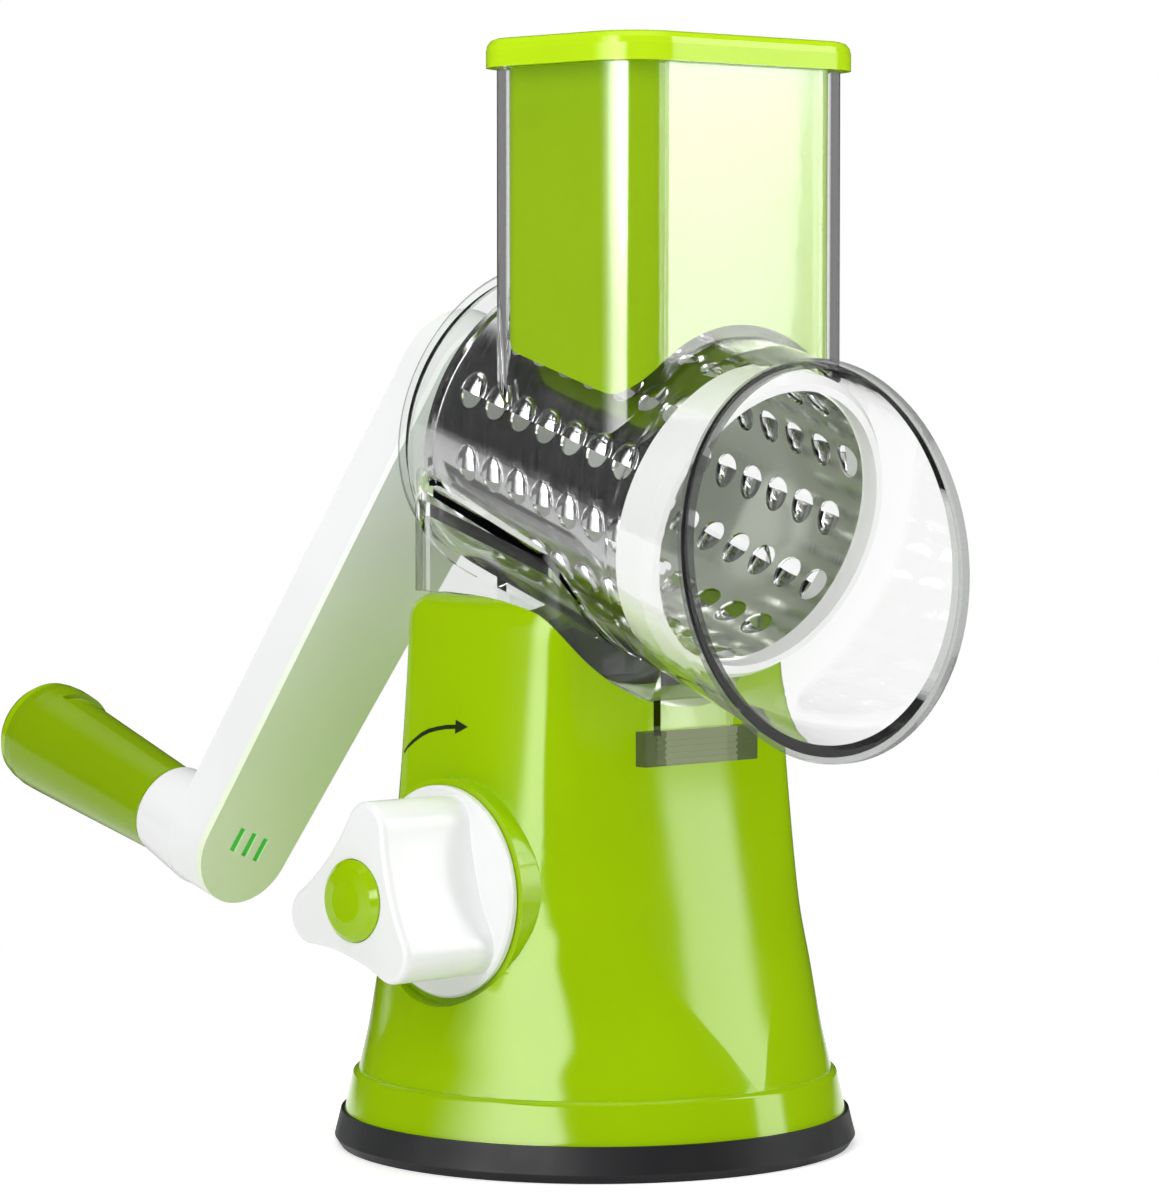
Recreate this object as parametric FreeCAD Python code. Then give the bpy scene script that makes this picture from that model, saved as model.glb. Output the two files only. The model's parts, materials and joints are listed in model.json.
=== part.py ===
import FreeCAD, Part
import math
import os

# Rotary cabbage shredder. Millimetres, +Z up, origin at the centre of the base on the table.
# The drum axis lies in the YZ plane, its mouth toward -Y and lower than its rear end.

V = FreeCAD.Vector
os.makedirs("parts", exist_ok=True)

# ---- driving dimensions ----
TILT = 17.0             # drum axis below the horizontal, toward the mouth
AXIS_H = 173.3          # height of the drum axis over the base centre

PAD_R = 65.0            # widest radius of the rubber pad
PAD_TOP_R = 63.4
PAD_H = 8.7
PAD_BULGE_H = 2.2
PAD_WEB_Z0 = 3.4
PAD_WEB_Z1 = 6.4
PAD_RIM_IN = 55.0
PAD_HOLE_R = 20.4
PAD_FOOT_IN_R = 57.0    # ring on which the pad stands
PAD_FOOT_R = 63.6

FLANGE_R = 62.5         # green flange at the foot of the column
FLANGE_TOP_R = 60.2
FLANGE_TOP_Z = 18.9
SHELL_WALL = 3.0

COLUMN_TOP_Z = AXIS_H - 42.8     # where the column's upper edge starts to round off
COLUMN_RISE = COLUMN_TOP_Z - FLANGE_TOP_Z
# column sections: share of its rise, half width in X, reach to the front, to the rear, corner radius
COLUMN_ROWS = [
    (-0.0045, 59.0, 59.0, 59.0, 58.7),
    (0.0995, 55.6, 53.6, 53.6, 50.0),
    (0.2339, 52.6, 46.6, 46.6, 38.0),
    (0.3683, 49.8, 41.2, 41.2, 29.0),
    (0.6192, 45.8, 34.9, 34.9, 20.0),
    (0.8611, 43.0, 32.9, 32.9, 15.5),
    (1.0, 41.7, 32.2, 32.2, 14.0),
]
SECTIONS = [(FLANGE_TOP_Z + row[0] * COLUMN_RISE,) + row[1:] for row in COLUMN_ROWS]
TOP_ROUND = 7.0         # rounding of the column's upper edge
POST_R = 5.0            # screw posts under the flange
POST_GAP = 0.4          # the posts end this far inside the column's skin
SADDLE_R = 52.5         # saddle that the housing stands in, about the drum axis

POCKET_HX = 13.3        # pocket for the housing's plug
POCKET_Y0 = -15.3
POCKET_Y1 = 22.3
POCKET_FLOOR = AXIS_H - 66.3
POCKET_WALL = 2.6

KNOB_Z = FLANGE_TOP_Z + 0.424283 * COLUMN_RISE     # height of the knob's shaft
SEAT_X = -49.2          # flat seat for the knob on the -X wall
SEAT_R = 27.4
DISC_X0 = -49.6
DISC_X1 = -51.5
DISC_R = 25.8
GRIP_FACE_X = -78.9
CAP_X = -81.4
CAP_R = 9.9
KNOB_SCREW_R = 1.6
KNOB_HEAD_R = 3.6
SHAFT_R = 5.0
SHAFT_RUN = 0.06        # running clearance on the radius
BUSH_R = 8.0
BUSH_COLLAR = 3.0       # collar of the bush inside the wall
BUSH_IN = 8.0
SHAFT_OUT = 16.0        # how far the shaft reaches into the grip, past the disc
SHAFT_IN_X = 19.0
SHAFT_FLAT = 1.2

CAM_R0 = 12.0
CAM_LIFT = 6.0
CAM_HALF_W = 4.0
CAM_HUB_R = 8.0
CAM_HUB_X0 = -7.0
CAM_HUB_X1 = 8.5
CAM_GAP = 0.5           # cam to follower bar at rest
STEM_R = 6.0
LIFT_DISC_R = 20.0
LIFT_DISC_Z = 3.6
LIFT_DISC_T = 2.0
LIFT_DISC_RISE = 2.6    # the disc thickens toward the stem
LIFT_ROOT_R = 9.0
YOKE_GAP = 0.8          # cam to the yoke's lower bar at full lift
YOKE_HX = 5.5
YOKE_IN_Y = 19.6
YOKE_OUT_Y = 24.0
YOKE_BAR = 5.0
SPRING_R = 6.6
SPRING_WIRE_R = 0.6
SPRING_TURNS = 5.0
SPRING_SEGMENTS = 14

PLATE_Z0 = 8.8
PLATE_T = 3.0
PLATE_Z1 = PLATE_Z0 + PLATE_T
PLATE_R = 55.6
CUP_R = 24.5            # bell in the plate's middle that the lifter's disc rises into
CUP_WALL = 2.5
CUP_FLANGE_R = 28.0
CUP_FLANGE_T = 2.0
CUP_ROOF_Z = 16.6
CUP_ROOF_T = 2.6
GUIDE_R = 10.0
GUIDE_TOP = 31.0
BLOCK_X0 = 12.0         # bearing block on the bell, for the shaft's inner end
BLOCK_X1 = 16.5
BLOCK_HY = 11.0
BLOCK_FOOT_T = 3.6
BLOCK_EYE_R = 9.0
RIB_T = 2.0
RIB_H = 4.0
SCREW_PCD_R = 44.0
SCREW_R = 1.8

BARREL_REAR_S = 30.0    # positions along the drum axis, rear is positive
BARREL_FRONT_S = -52.0
BARREL_R_REAR = 39.2
BARREL_R_FRONT = 42.0
CLEAR_WALL = 2.0
REAR_WALL = 3.0
RIM_S = -84.5
RIM_DROP = -1.2
RIM_R = 47.0
RIM_LEAN = 23.3         # the mouth's plane against a square cut
RIM_BEAD_R = 1.0        # how far the rolled edge stands out
RIM_BEAD_W = 2.4

CHUTE_HX = 38.4
CHUTE_HY = 27.5
CHUTE_CY = -26.5
CHUTE_CORNER = 12.0
CHUTE_WALL = 2.2
CHUTE_TOP = 265.2
CHUTE_FOOT = AXIS_H - 5.3

FOOT_HX = 38.0
FOOT_Y0 = -29.3
FOOT_Y1 = 29.3
FOOT_CORNER = 8.0
FOOT_GAP = 0.35
PLUG_HX = 13.0
PLUG_Y0 = -15.0
PLUG_Y1 = 22.0
NECK_HX = 12.4
NECK_Y0 = -36.5
NECK_Y1 = -34.0
NECK_STEP_Z = AXIS_H - 60.8      # above this the neck reaches back over the column
NECK_STEP_Y = -24.0
NECK_Z = AXIS_H - 69.3
TAB_HX = 19.0
TAB_Y0 = -38.2
TAB_Y1 = -34.7
TAB_Z0 = AXIS_H - 76.4
TAB_Z1 = AXIS_H - 67.9

BUSH_S1 = 32.5
AXLE_R = 8.0
AXLE_RUN = 0.06
AXLE_BUSH_R = 11.0
AXLE_FLANGE_R = 14.5
HEX_AF = 13.6
HEX_SOCKET_AF = 14.2
HEX_S0 = -2.0
HEX_S1 = 20.0
TANG = 11.0

ARM_S0 = 42.0           # front face of the crank's cover
ARM_SPLIT = 44.0
ARM_S1 = 56.3
ARM_ANGLE = 22.8        # from straight down, toward -X
ARM_L = 130.6           # drum axis to the centre of the rounded end
ARM_HUB_R = 19.0
ARM_END_R = 14.4
ARM_WALL = 1.8
GRIP_PAST_END = 0.9     # the grip's axis lies this far past the centre of the rounded end
GRIP_L = ARM_L + GRIP_PAST_END
SOCKET_S1 = 72.3
SOCKET_R0 = 13.9
SOCKET_R1 = 12.0
SPINDLE_R = 3.0
SPINDLE_RUN = 0.06
GRIP_S0 = 72.6
GRIP_S1 = 137.6
GRIP_R0 = 11.85
GRIP_R1 = 14.5
GRIP_DOME = 8.6
GRIP_BODY_S1 = GRIP_S1 - GRIP_DOME
RECESS_S1 = 121.0       # shallow recess along the side of the grip that faces the hub
RECESS_DEPTH = 0.9
RECESS_HALF = 39.0
SPINDLE_HEAD_R = 5.0
SPINDLE_HEAD_T = 1.6
TANG_S0 = 36.0
COLLAR_R = 12.0

SLEEVE_R = 35.2
SLEEVE_T = 0.8
SLEEVE_S0 = -60.0
SLEEVE_S1 = 21.0
HOLE_R = 3.2
HOLE_PITCH = 8.9
HOLE_ROWS = 12
LIP_T = 0.8             # cutting lip round one side of each hole
LIP_H = 1.1
RING_R = 38.5
RING_S0 = -64.7
RING_S1 = -53.6
RING_BORE = 34.65
HUB_R = 13.4
HUB_S0 = -4.0
HUB_S1 = 26.4

PUSH_HX = 35.3
PUSH_HY = 24.2
PUSH_CORNER = 9.0
PUSH_WALL = 2.4
PUSH_SADDLE_R = 43.5
LID_HX = 41.0
LID_HY = 29.9
LID_CORNER = 14.2
LID_H = 7.0
LID_ROUND = 3.0
LOBE_TIP = 24.4         # the knob's three lobes, their rounding and the waists between them
LOBE_R = 7.0
LOBE_WAIST = 14.0
LOBE_AT = 76.5          # first lobe above the front
LOBE_EDGE = 1.6


# ---- helpers ----
def box(x0, x1, y0, y1, z0, z1):
    return Part.makeBox(x1 - x0, y1 - y0, z1 - z0, V(x0, y0, z0))


def cyl(r, p, d, h):
    return Part.makeCylinder(r, h, V(*p), V(*d))


def turned(profile, axis="z"):
    """Solid turned from (radius, height) points about the named axis."""
    pts = [V(r, 0, h) for r, h in profile]
    face = Part.Face(Part.makePolygon(pts + [pts[0]]))
    solid = face.revolve(V(0, 0, 0), V(0, 0, 1), 360)
    if axis == "y":
        solid.rotate(V(0, 0, 0), V(1, 0, 0), -90)
    if axis == "x":
        solid.rotate(V(0, 0, 0), V(0, 1, 0), 90)
    return solid


def rounded(hx, y0, y1, r, z):
    """Rounded rectangle wire between -hx and hx, y0 and y1, at height z."""
    k = r * math.sqrt(0.5)
    edges = []
    c = [(hx - r, y1 - r, 1, 1), (-hx + r, y1 - r, -1, 1), (-hx + r, y0 + r, -1, -1), (hx - r, y0 + r, 1, -1)]
    arcs = []
    for i, (cx, cy, sx, sy) in enumerate(c):
        a = V(cx + sx * r, cy, z)
        b = V(cx, cy + sy * r, z)
        m = V(cx + sx * k, cy + sy * k, z)
        if i % 2:
            a, b = b, a
        arcs.append((a, m, b))
    for i in range(4):
        a, m, b = arcs[i]
        edges.append(Part.Arc(a, m, b).toShape())
        edges.append(Part.makeLine(b, arcs[(i + 1) % 4][0]))
    return Part.Wire(edges)


def prism(hx, y0, y1, r, z0, z1):
    return Part.Face(rounded(hx, y0, y1, r, z0)).extrude(V(0, 0, z1 - z0))


def to_axis(shape):
    """Place a shape built along +Y onto the tilted drum axis."""
    shape.rotate(V(0, 0, 0), V(1, 0, 0), TILT)
    shape.translate(V(0, 0, AXIS_H))
    return shape


def hexagon(af, s0, s1):
    r = af / math.sqrt(3.0)
    pts = [V(r * math.cos(math.radians(60 * i)), s0, r * math.sin(math.radians(60 * i))) for i in range(7)]
    return Part.Face(Part.makePolygon(pts)).extrude(V(0, s1 - s0, 0))


def ring_wire(r, s, drop, lean):
    w = Part.Wire(Part.makeCircle(r))
    w.rotate(V(0, 0, 0), V(1, 0, 0), -90 - lean)
    w.translate(V(0, s, drop))
    return w


def save(name, shape):
    shape = shape if name == "lift_spring" else shape.removeSplitter()
    if len(shape.Solids) == 1:
        shape = shape.Solids[0]
    print(name, "solids", len(shape.Solids), "valid", shape.isValid(), "volume", round(shape.Volume / 1000.0, 2))
    shape.exportStep("parts/%s.step" % name)


# ---- base ----
def column(inset, top_cut):
    """Column body inset by a wall; top_cut lowers its roof."""
    wires = []
    for z, hx, yf, yr, r in SECTIONS:
        wires.append(rounded(hx - inset, -(yf - inset), yr - inset, max(r - inset, 2.0), z))
    body = Part.makeLoft(wires, True, False)
    z, hx, yf, yr, r = SECTIONS[-1]
    caps = []
    for k in range(5):
        a = math.radians(22.5 * k)
        e = inset + TOP_ROUND * (1 - math.cos(a))
        caps.append(rounded(hx - e, -(yf - e), yr - e, max(r - e, 1.5), z + TOP_ROUND * math.sin(a)))
    if top_cut <= 0:
        body = body.fuse(Part.makeLoft(caps, True, True))
    return body


def axis_cylinder(r, s0=-200.0, s1=200.0):
    return to_axis(cyl(r, (0, s0, 0), (0, 1, 0), s1 - s0))


def base_shell():
    outer = column(0, 0)
    flange = turned([(0, PAD_H), (FLANGE_R, PAD_H), (FLANGE_TOP_R, FLANGE_TOP_Z - 0.8),
                     (FLANGE_TOP_R - 0.8, FLANGE_TOP_Z), (0, FLANGE_TOP_Z)])
    outer = outer.fuse(flange)
    boss = cyl(SEAT_R, (SEAT_X, 0, KNOB_Z), (1, 0, 0), 12)
    outer = outer.fuse(boss.common(box(-60, 0, -60, 60, 20, 100)))
    outer = outer.cut(cyl(SEAT_R, (SEAT_X - 20, 0, KNOB_Z), (1, 0, 0), 20))
    outer = outer.cut(axis_cylinder(SADDLE_R))
    inner = column(SHELL_WALL, 1)
    inner = inner.cut(axis_cylinder(SADDLE_R + SHELL_WALL))
    skirt = turned([(0, PAD_H - 1), (PLATE_R + 0.3, PAD_H - 1), (PLATE_R + 0.3, 16.2), (0, 16.2)])
    throat = turned([(0, 10), (PLATE_R - 0.6, 10), (PLATE_R - 0.6, 19.0), (0, 19.0)])
    inner = inner.fuse(skirt).fuse(throat)
    seat_back = cyl(SEAT_R - 2.0, (SEAT_X + SHELL_WALL, 0, KNOB_Z), (-1, 0, 0), 12)
    inner = inner.cut(seat_back.fuse(cyl(SEAT_R, (SEAT_X - 10, 0, KNOB_Z), (1, 0, 0), 10 + SHELL_WALL)))
    shell = outer.cut(inner)
    wall = POCKET_WALL
    shell = shell.cut(box(-POCKET_HX - wall, POCKET_HX + wall, POCKET_Y0 - wall, POCKET_Y1 + wall,
                          POCKET_FLOOR - wall, AXIS_H))
    for sx in (-1, 1):
        for sy in (-1, 1):
            x = sx * SCREW_PCD_R * math.sqrt(0.5)
            y = sy * SCREW_PCD_R * math.sqrt(0.5)
            post = cyl(POST_R, (x, y, PLATE_Z1), (0, 0, 1), 60).common(column(POST_GAP, 0))
            shell = shell.fuse(post)
            shell = shell.cut(cyl(SCREW_R, (x, y, PLATE_Z1 - 1), (0, 0, 1), 15))
    shell = shell.cut(cyl(BUSH_R, (SEAT_X - 5, 0, KNOB_Z), (1, 0, 0), 12))
    return shell


def pocket_insert():
    """Socket for the housing's plug, set into the saddle from above."""
    wall = POCKET_WALL
    s = box(-POCKET_HX - wall, POCKET_HX + wall, POCKET_Y0 - wall, POCKET_Y1 + wall, POCKET_FLOOR - wall, AXIS_H)
    s = s.cut(axis_cylinder(SADDLE_R))
    s = s.common(box(-60, 60, -60, 60, POCKET_FLOOR - wall, SECTIONS[-1][0] + TOP_ROUND - 0.5))
    return s.cut(box(-POCKET_HX, POCKET_HX, POCKET_Y0, POCKET_Y1, POCKET_FLOOR, AXIS_H))


def suction_pad():
    return turned([(PAD_FOOT_IN_R, 0.0), (PAD_FOOT_R, 0.0), (PAD_R, PAD_BULGE_H), (PAD_TOP_R, PAD_H), (PAD_RIM_IN, PAD_H),
                   (PAD_RIM_IN - 1.5, PAD_WEB_Z1), (PAD_HOLE_R, PAD_WEB_Z1), (PAD_HOLE_R, PAD_WEB_Z0),
                   (PAD_RIM_IN - 2.0, PAD_WEB_Z0)])


def clamp_plate():
    s = turned([(CUP_R, PLATE_Z0), (PLATE_R, PLATE_Z0), (PLATE_R, PLATE_Z1), (CUP_R, PLATE_Z1)])
    for sx in (-1, 1):
        for sy in (-1, 1):
            x = sx * SCREW_PCD_R * math.sqrt(0.5)
            y = sy * SCREW_PCD_R * math.sqrt(0.5)
            s = s.cut(cyl(SCREW_R + 0.3, (x, y, PLATE_Z0 - 1), (0, 0, 1), PLATE_T + 2))
    for a in range(4):
        rib = box(CUP_FLANGE_R + 0.5, SCREW_PCD_R, -0.5 * RIB_T, 0.5 * RIB_T, PLATE_Z1 - 0.5, PLATE_Z1 + RIB_H)
        rib.rotate(V(0, 0, 0), V(0, 0, 1), 90 * a)
        s = s.fuse(rib)
    return s


def guide_cup():
    """Bell with the guide tube for the lifter's stem, set into the clamp plate."""
    guide = STEM_R + SHAFT_RUN
    inner = CUP_R - CUP_WALL
    roof = CUP_ROOF_Z + CUP_ROOF_T
    return turned([(guide, CUP_ROOF_Z), (inner, CUP_ROOF_Z), (inner, PLATE_Z0), (CUP_R, PLATE_Z0), (CUP_R, PLATE_Z1),
                   (CUP_FLANGE_R, PLATE_Z1), (CUP_FLANGE_R, PLATE_Z1 + CUP_FLANGE_T),
                   (CUP_R, PLATE_Z1 + CUP_FLANGE_T), (CUP_R, roof), (GUIDE_R, roof), (GUIDE_R, GUIDE_TOP),
                   (guide, GUIDE_TOP)])


def base_screws():
    out = []
    for sx in (-1, 1):
        for sy in (-1, 1):
            x = sx * SCREW_PCD_R * math.sqrt(0.5)
            y = sy * SCREW_PCD_R * math.sqrt(0.5)
            head = cyl(3.4, (x, y, PLATE_Z0 - 1.8), (0, 0, 1), 1.8)
            stem = cyl(SCREW_R, (x, y, PLATE_Z0 - 0.5), (0, 0, 1), 16.0)
            slot = box(x - 2.6, x + 2.6, y - 0.5, y + 0.5, PLATE_Z0 - 2, PLATE_Z0 - 1.0)
            out.append(head.fuse(stem).cut(slot))
    return Part.makeCompound(out)


def knob_bush():
    r = SHAFT_R + SHAFT_RUN
    wall = SEAT_X + SHELL_WALL
    s = turned([(r, SEAT_X), (BUSH_R, SEAT_X), (BUSH_R, wall), (BUSH_R + BUSH_COLLAR, wall),
                (BUSH_R + BUSH_COLLAR, SEAT_X + BUSH_IN), (r, SEAT_X + BUSH_IN)], "x")
    s.translate(V(0, 0, KNOB_Z))
    return s


def bearing_block():
    z = CUP_ROOF_Z + CUP_ROOF_T
    heel = CUP_R - 3.0
    web = box(BLOCK_X0, BLOCK_X1, -BLOCK_HY, BLOCK_HY, z, KNOB_Z + BLOCK_EYE_R + 1.0)
    foot = box(GUIDE_R + 0.5, heel, -BLOCK_HY, BLOCK_HY, z, z + BLOCK_FOOT_T)
    eye = cyl(BLOCK_EYE_R, (BLOCK_X0 - 1.0, 0, KNOB_Z), (1, 0, 0), SHAFT_IN_X - BLOCK_X0 + 1.0)
    x = BLOCK_X1 - 0.5
    y = -0.75 * RIB_T
    rib = Part.Face(Part.makePolygon([V(x, y, z), V(heel, y, z), V(x, y, KNOB_Z - SHAFT_R - 1.0),
                                      V(x, y, z)])).extrude(V(0, -2 * y, 0))
    s = web.fuse([foot, eye, rib])
    return s.cut(cyl(SHAFT_R + SHAFT_RUN, (5, 0, KNOB_Z), (1, 0, 0), 20))


def lift_spring():
    """Coil between the lifter's bar and the underside of the pocket, as flat facets."""
    z0 = KNOB_Z + CAM_R0 + CAM_GAP + YOKE_BAR + SPRING_WIRE_R + 0.1
    z1 = POCKET_FLOOR - POCKET_WALL - SPRING_WIRE_R - 0.1
    steps = int(SPRING_TURNS * SPRING_SEGMENTS)
    rings = []
    for i in range(steps + 1):
        a = 2 * math.pi * i / SPRING_SEGMENTS
        z = z0 + (z1 - z0) * i / steps
        ring = []
        for k in range(6):
            b = 2 * math.pi * k / 6
            r = SPRING_R + SPRING_WIRE_R * math.cos(b)
            ring.append(V(r * math.cos(a), r * math.sin(a), z + SPRING_WIRE_R * math.sin(b)))
        rings.append(ring)
    faces = []
    for lo, hi in zip(rings, rings[1:]):
        for k in range(6):
            m = (k + 1) % 6
            faces.append(Part.Face(Part.makePolygon([lo[k], lo[m], hi[m], lo[k]])))
            faces.append(Part.Face(Part.makePolygon([lo[k], hi[m], hi[k], lo[k]])))
    for ring in (rings[0], rings[-1]):
        for k in range(1, 5):
            faces.append(Part.Face(Part.makePolygon([ring[0], ring[k], ring[k + 1], ring[0]])))
    shell = Part.Shell(faces)
    solid = Part.Solid(shell)
    if solid.Volume < 0:
        solid.reverse()
    return solid


# ---- knob and lifter ----
def knob_shaft():
    x = DISC_X1 - SHAFT_OUT
    s = cyl(SHAFT_R, (x, 0, KNOB_Z), (1, 0, 0), SHAFT_IN_X - x)
    s = s.cut(cyl(KNOB_SCREW_R, (x - 1, 0, KNOB_Z), (1, 0, 0), 14))
    s = s.cut(box(x - 1, DISC_X1 - 3, SHAFT_R - SHAFT_FLAT, SHAFT_R + 1, KNOB_Z - 6, KNOB_Z + 6))
    return s


def lift_cam():
    pts = []
    n = 48
    for i in range(n):
        a = 2 * math.pi * i / n
        d = abs(math.atan2(math.sin(a), math.cos(a)))
        r = CAM_R0 + CAM_LIFT * d / math.pi
        pts.append(V(-CAM_HALF_W, r * math.sin(a), KNOB_Z + r * math.cos(a)))
    s = Part.Face(Part.makePolygon(pts + [pts[0]])).extrude(V(2 * CAM_HALF_W, 0, 0))
    s = s.fuse(cyl(CAM_HUB_R, (CAM_HUB_X0, 0, KNOB_Z), (1, 0, 0), CAM_HUB_X1 - CAM_HUB_X0))
    return s.cut(cyl(SHAFT_R, (-20, 0, KNOB_Z), (1, 0, 0), 40))


def lobed(x):
    """Outline of the knob's grip: three round lobes joined by shallow hollows, each arc tangent to the next."""
    c = LOBE_TIP - LOBE_R
    w = LOBE_WAIST
    hollow = (c * c + w * w - c * w - LOBE_R ** 2) / (c + 2 * LOBE_R - 2 * w)

    def at(r, a):
        return V(x, -r * math.cos(math.radians(a)), KNOB_Z + r * math.sin(math.radians(a)))

    def touch(a, side):
        """Where the lobe at angle a meets the hollow on one side of it."""
        way = at(w + hollow, a + 60 * side) - at(c, a)
        return at(c, a) + way * (LOBE_R / way.Length)

    edges = []
    for k in range(3):
        a = LOBE_AT + 120 * k
        edges.append(Part.Arc(touch(a, -1), at(LOBE_TIP, a), touch(a, 1)).toShape())
        edges.append(Part.Arc(touch(a, 1), at(w, a + 60), touch(a + 120, -1)).toShape())
    return Part.Wire(edges)


def knob_grip():
    s = Part.Face(lobed(GRIP_FACE_X)).extrude(V(DISC_X1 - GRIP_FACE_X, 0, 0))
    rim = [e for e in s.Edges if all(abs(v.X - GRIP_FACE_X) < 0.01 for v in e.Vertexes)]
    s = s.makeFillet(LOBE_EDGE, rim)
    s = s.cut(cyl(CAP_R + 0.15, (GRIP_FACE_X - 5, 0, KNOB_Z), (1, 0, 0), 8.4))
    s = s.cut(cyl(KNOB_HEAD_R + 0.6, (GRIP_FACE_X - 5, 0, KNOB_Z), (1, 0, 0), 12.4))
    x = DISC_X1 - SHAFT_OUT
    bore = cyl(SHAFT_R, (x, 0, KNOB_Z), (1, 0, 0), 20)
    flat = box(x, DISC_X1 - 3, SHAFT_R - SHAFT_FLAT, SHAFT_R + 1, KNOB_Z - 6, KNOB_Z + 6)
    s = s.cut(bore.cut(flat))
    return s.cut(cyl(KNOB_SCREW_R + 0.4, (GRIP_FACE_X, 0, KNOB_Z), (1, 0, 0), 20))


def knob_disc():
    s = turned([(SHAFT_R, DISC_X1), (DISC_R - 0.6, DISC_X1), (DISC_R, DISC_X1 + 0.6), (DISC_R, DISC_X0),
                (SHAFT_R, DISC_X0)], "x")
    s.translate(V(0, 0, KNOB_Z))
    return s


def knob_screw():
    x = GRIP_FACE_X + 7.4
    s = cyl(KNOB_HEAD_R, (x - 2.2, 0, KNOB_Z), (1, 0, 0), 2.2)
    s = s.fuse(cyl(KNOB_SCREW_R, (x - 0.5, 0, KNOB_Z), (1, 0, 0), 14.5))
    return s.cut(box(x - 3, x - 1.3, -2.8, 2.8, KNOB_Z - 0.5, KNOB_Z + 0.5))


def knob_cap():
    x = GRIP_FACE_X + 3.2
    s = turned([(0, CAP_X), (5.0, CAP_X + 0.15), (8.4, CAP_X + 0.7), (CAP_R, CAP_X + 2.0), (CAP_R, x), (7.6, x),
                (7.6, CAP_X + 2.6), (0, CAP_X + 2.2)], "x")
    s.translate(V(0, 0, KNOB_Z))
    return s


def pad_lifter():
    z_low = KNOB_Z - CAM_R0 - CAM_LIFT - YOKE_GAP
    top = z_low - YOKE_BAR + 1.0
    disc = LIFT_DISC_Z + LIFT_DISC_T
    s = turned([(0, LIFT_DISC_Z), (LIFT_DISC_R, LIFT_DISC_Z), (LIFT_DISC_R, disc),
                (LIFT_ROOT_R, disc + LIFT_DISC_RISE), (STEM_R, disc + LIFT_DISC_RISE), (STEM_R, top), (0, top)])
    z_bar = KNOB_Z + CAM_R0 + CAM_GAP
    yoke = box(-YOKE_HX, YOKE_HX, -YOKE_OUT_Y, YOKE_OUT_Y, z_low - YOKE_BAR, z_bar + YOKE_BAR)
    yoke = yoke.cut(box(-YOKE_HX - 1, YOKE_HX + 1, -YOKE_IN_Y, YOKE_IN_Y, z_low, z_bar))
    return s.fuse(yoke)


# ---- housing ----
def housing():
    chute_y0 = CHUTE_CY - CHUTE_HY
    chute_y1 = CHUTE_CY + CHUTE_HY
    barrel = turned([(0, BARREL_REAR_S), (BARREL_R_REAR - 0.8, BARREL_REAR_S), (BARREL_R_REAR, BARREL_REAR_S - 0.8),
                     (BARREL_R_FRONT, BARREL_FRONT_S), (0, BARREL_FRONT_S)], "y")
    flare = Part.makeLoft([ring_wire(BARREL_R_FRONT, BARREL_FRONT_S, 0, 0),
                           ring_wire(RIM_R, RIM_S, RIM_DROP, RIM_LEAN)], True, True)
    bead = Part.makeCylinder(RIM_R + RIM_BEAD_R, RIM_BEAD_W, V(0, 0, -0.5 * RIM_BEAD_W))
    bead.rotate(V(0, 0, 0), V(1, 0, 0), -90 - RIM_LEAN)
    bead.translate(V(0, RIM_S, RIM_DROP))
    outer = to_axis(barrel.fuse(flare).fuse(bead))
    chute = prism(CHUTE_HX, chute_y0, chute_y1, CHUTE_CORNER, CHUTE_FOOT, CHUTE_TOP)
    outer = outer.fuse(chute)
    # foot: a skirt that follows the column's top, a plug for its pocket, and the front neck
    w = CHUTE_WALL
    low = AXIS_H - SADDLE_R - 2.0
    high = AXIS_H + 4.0
    skirt = prism(FOOT_HX, FOOT_Y0, FOOT_Y1, FOOT_CORNER, low, high)
    skirt = skirt.cut(prism(FOOT_HX - w, FOOT_Y0 + w, FOOT_Y1 - w, FOOT_CORNER - w, low - 1, high + 1))
    ledge = SECTIONS[-1][0] + TOP_ROUND + FOOT_GAP
    keep = axis_cylinder(SADDLE_R - FOOT_GAP).fuse(box(-60, 60, -60, 60, ledge, high + 1))
    skirt = skirt.common(keep)
    under = box(-60, 60, -60, 60, POCKET_FLOOR - 10, high).cut(to_axis(barrel.copy()))
    plug = box(-PLUG_HX, PLUG_HX, PLUG_Y0, PLUG_Y1, POCKET_FLOOR, AXIS_H - 10)
    core = box(-PLUG_HX + w, PLUG_HX - w, PLUG_Y0 + w, PLUG_Y1 - w, POCKET_FLOOR - 1, AXIS_H - 10)
    plug = plug.cut(core.common(under))
    neck = box(-NECK_HX, NECK_HX, NECK_Y0, NECK_Y1, NECK_Z, AXIS_H - 20)
    neck = neck.fuse(box(-NECK_HX, NECK_HX, NECK_Y0, NECK_STEP_Y, NECK_STEP_Z, AXIS_H - 20))
    outer = outer.fuse([skirt, plug, neck])
    r_in = BARREL_R_REAR - CLEAR_WALL
    bore = turned([(0, BARREL_REAR_S - REAR_WALL), (r_in, BARREL_REAR_S - REAR_WALL),
                   (BARREL_R_FRONT - CLEAR_WALL, BARREL_FRONT_S), (0, BARREL_FRONT_S)], "y")
    mouth = Part.makeLoft([ring_wire(BARREL_R_FRONT - CLEAR_WALL, BARREL_FRONT_S, 0, 0),
                           ring_wire(RIM_R - CLEAR_WALL + 0.2, RIM_S - 2.2 * math.cos(math.radians(RIM_LEAN)),
                                     RIM_DROP + 2.2 * math.sin(math.radians(RIM_LEAN)), RIM_LEAN)], True, True)
    axle = cyl(AXLE_BUSH_R, (0, 20, 0), (0, 1, 0), 20)
    inner = to_axis(bore.fuse([mouth, axle]))
    inner = inner.fuse(prism(CHUTE_HX - w, chute_y0 + w, chute_y1 - w, CHUTE_CORNER - w, CHUTE_FOOT, CHUTE_TOP + 5))
    return outer.cut(inner)


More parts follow.
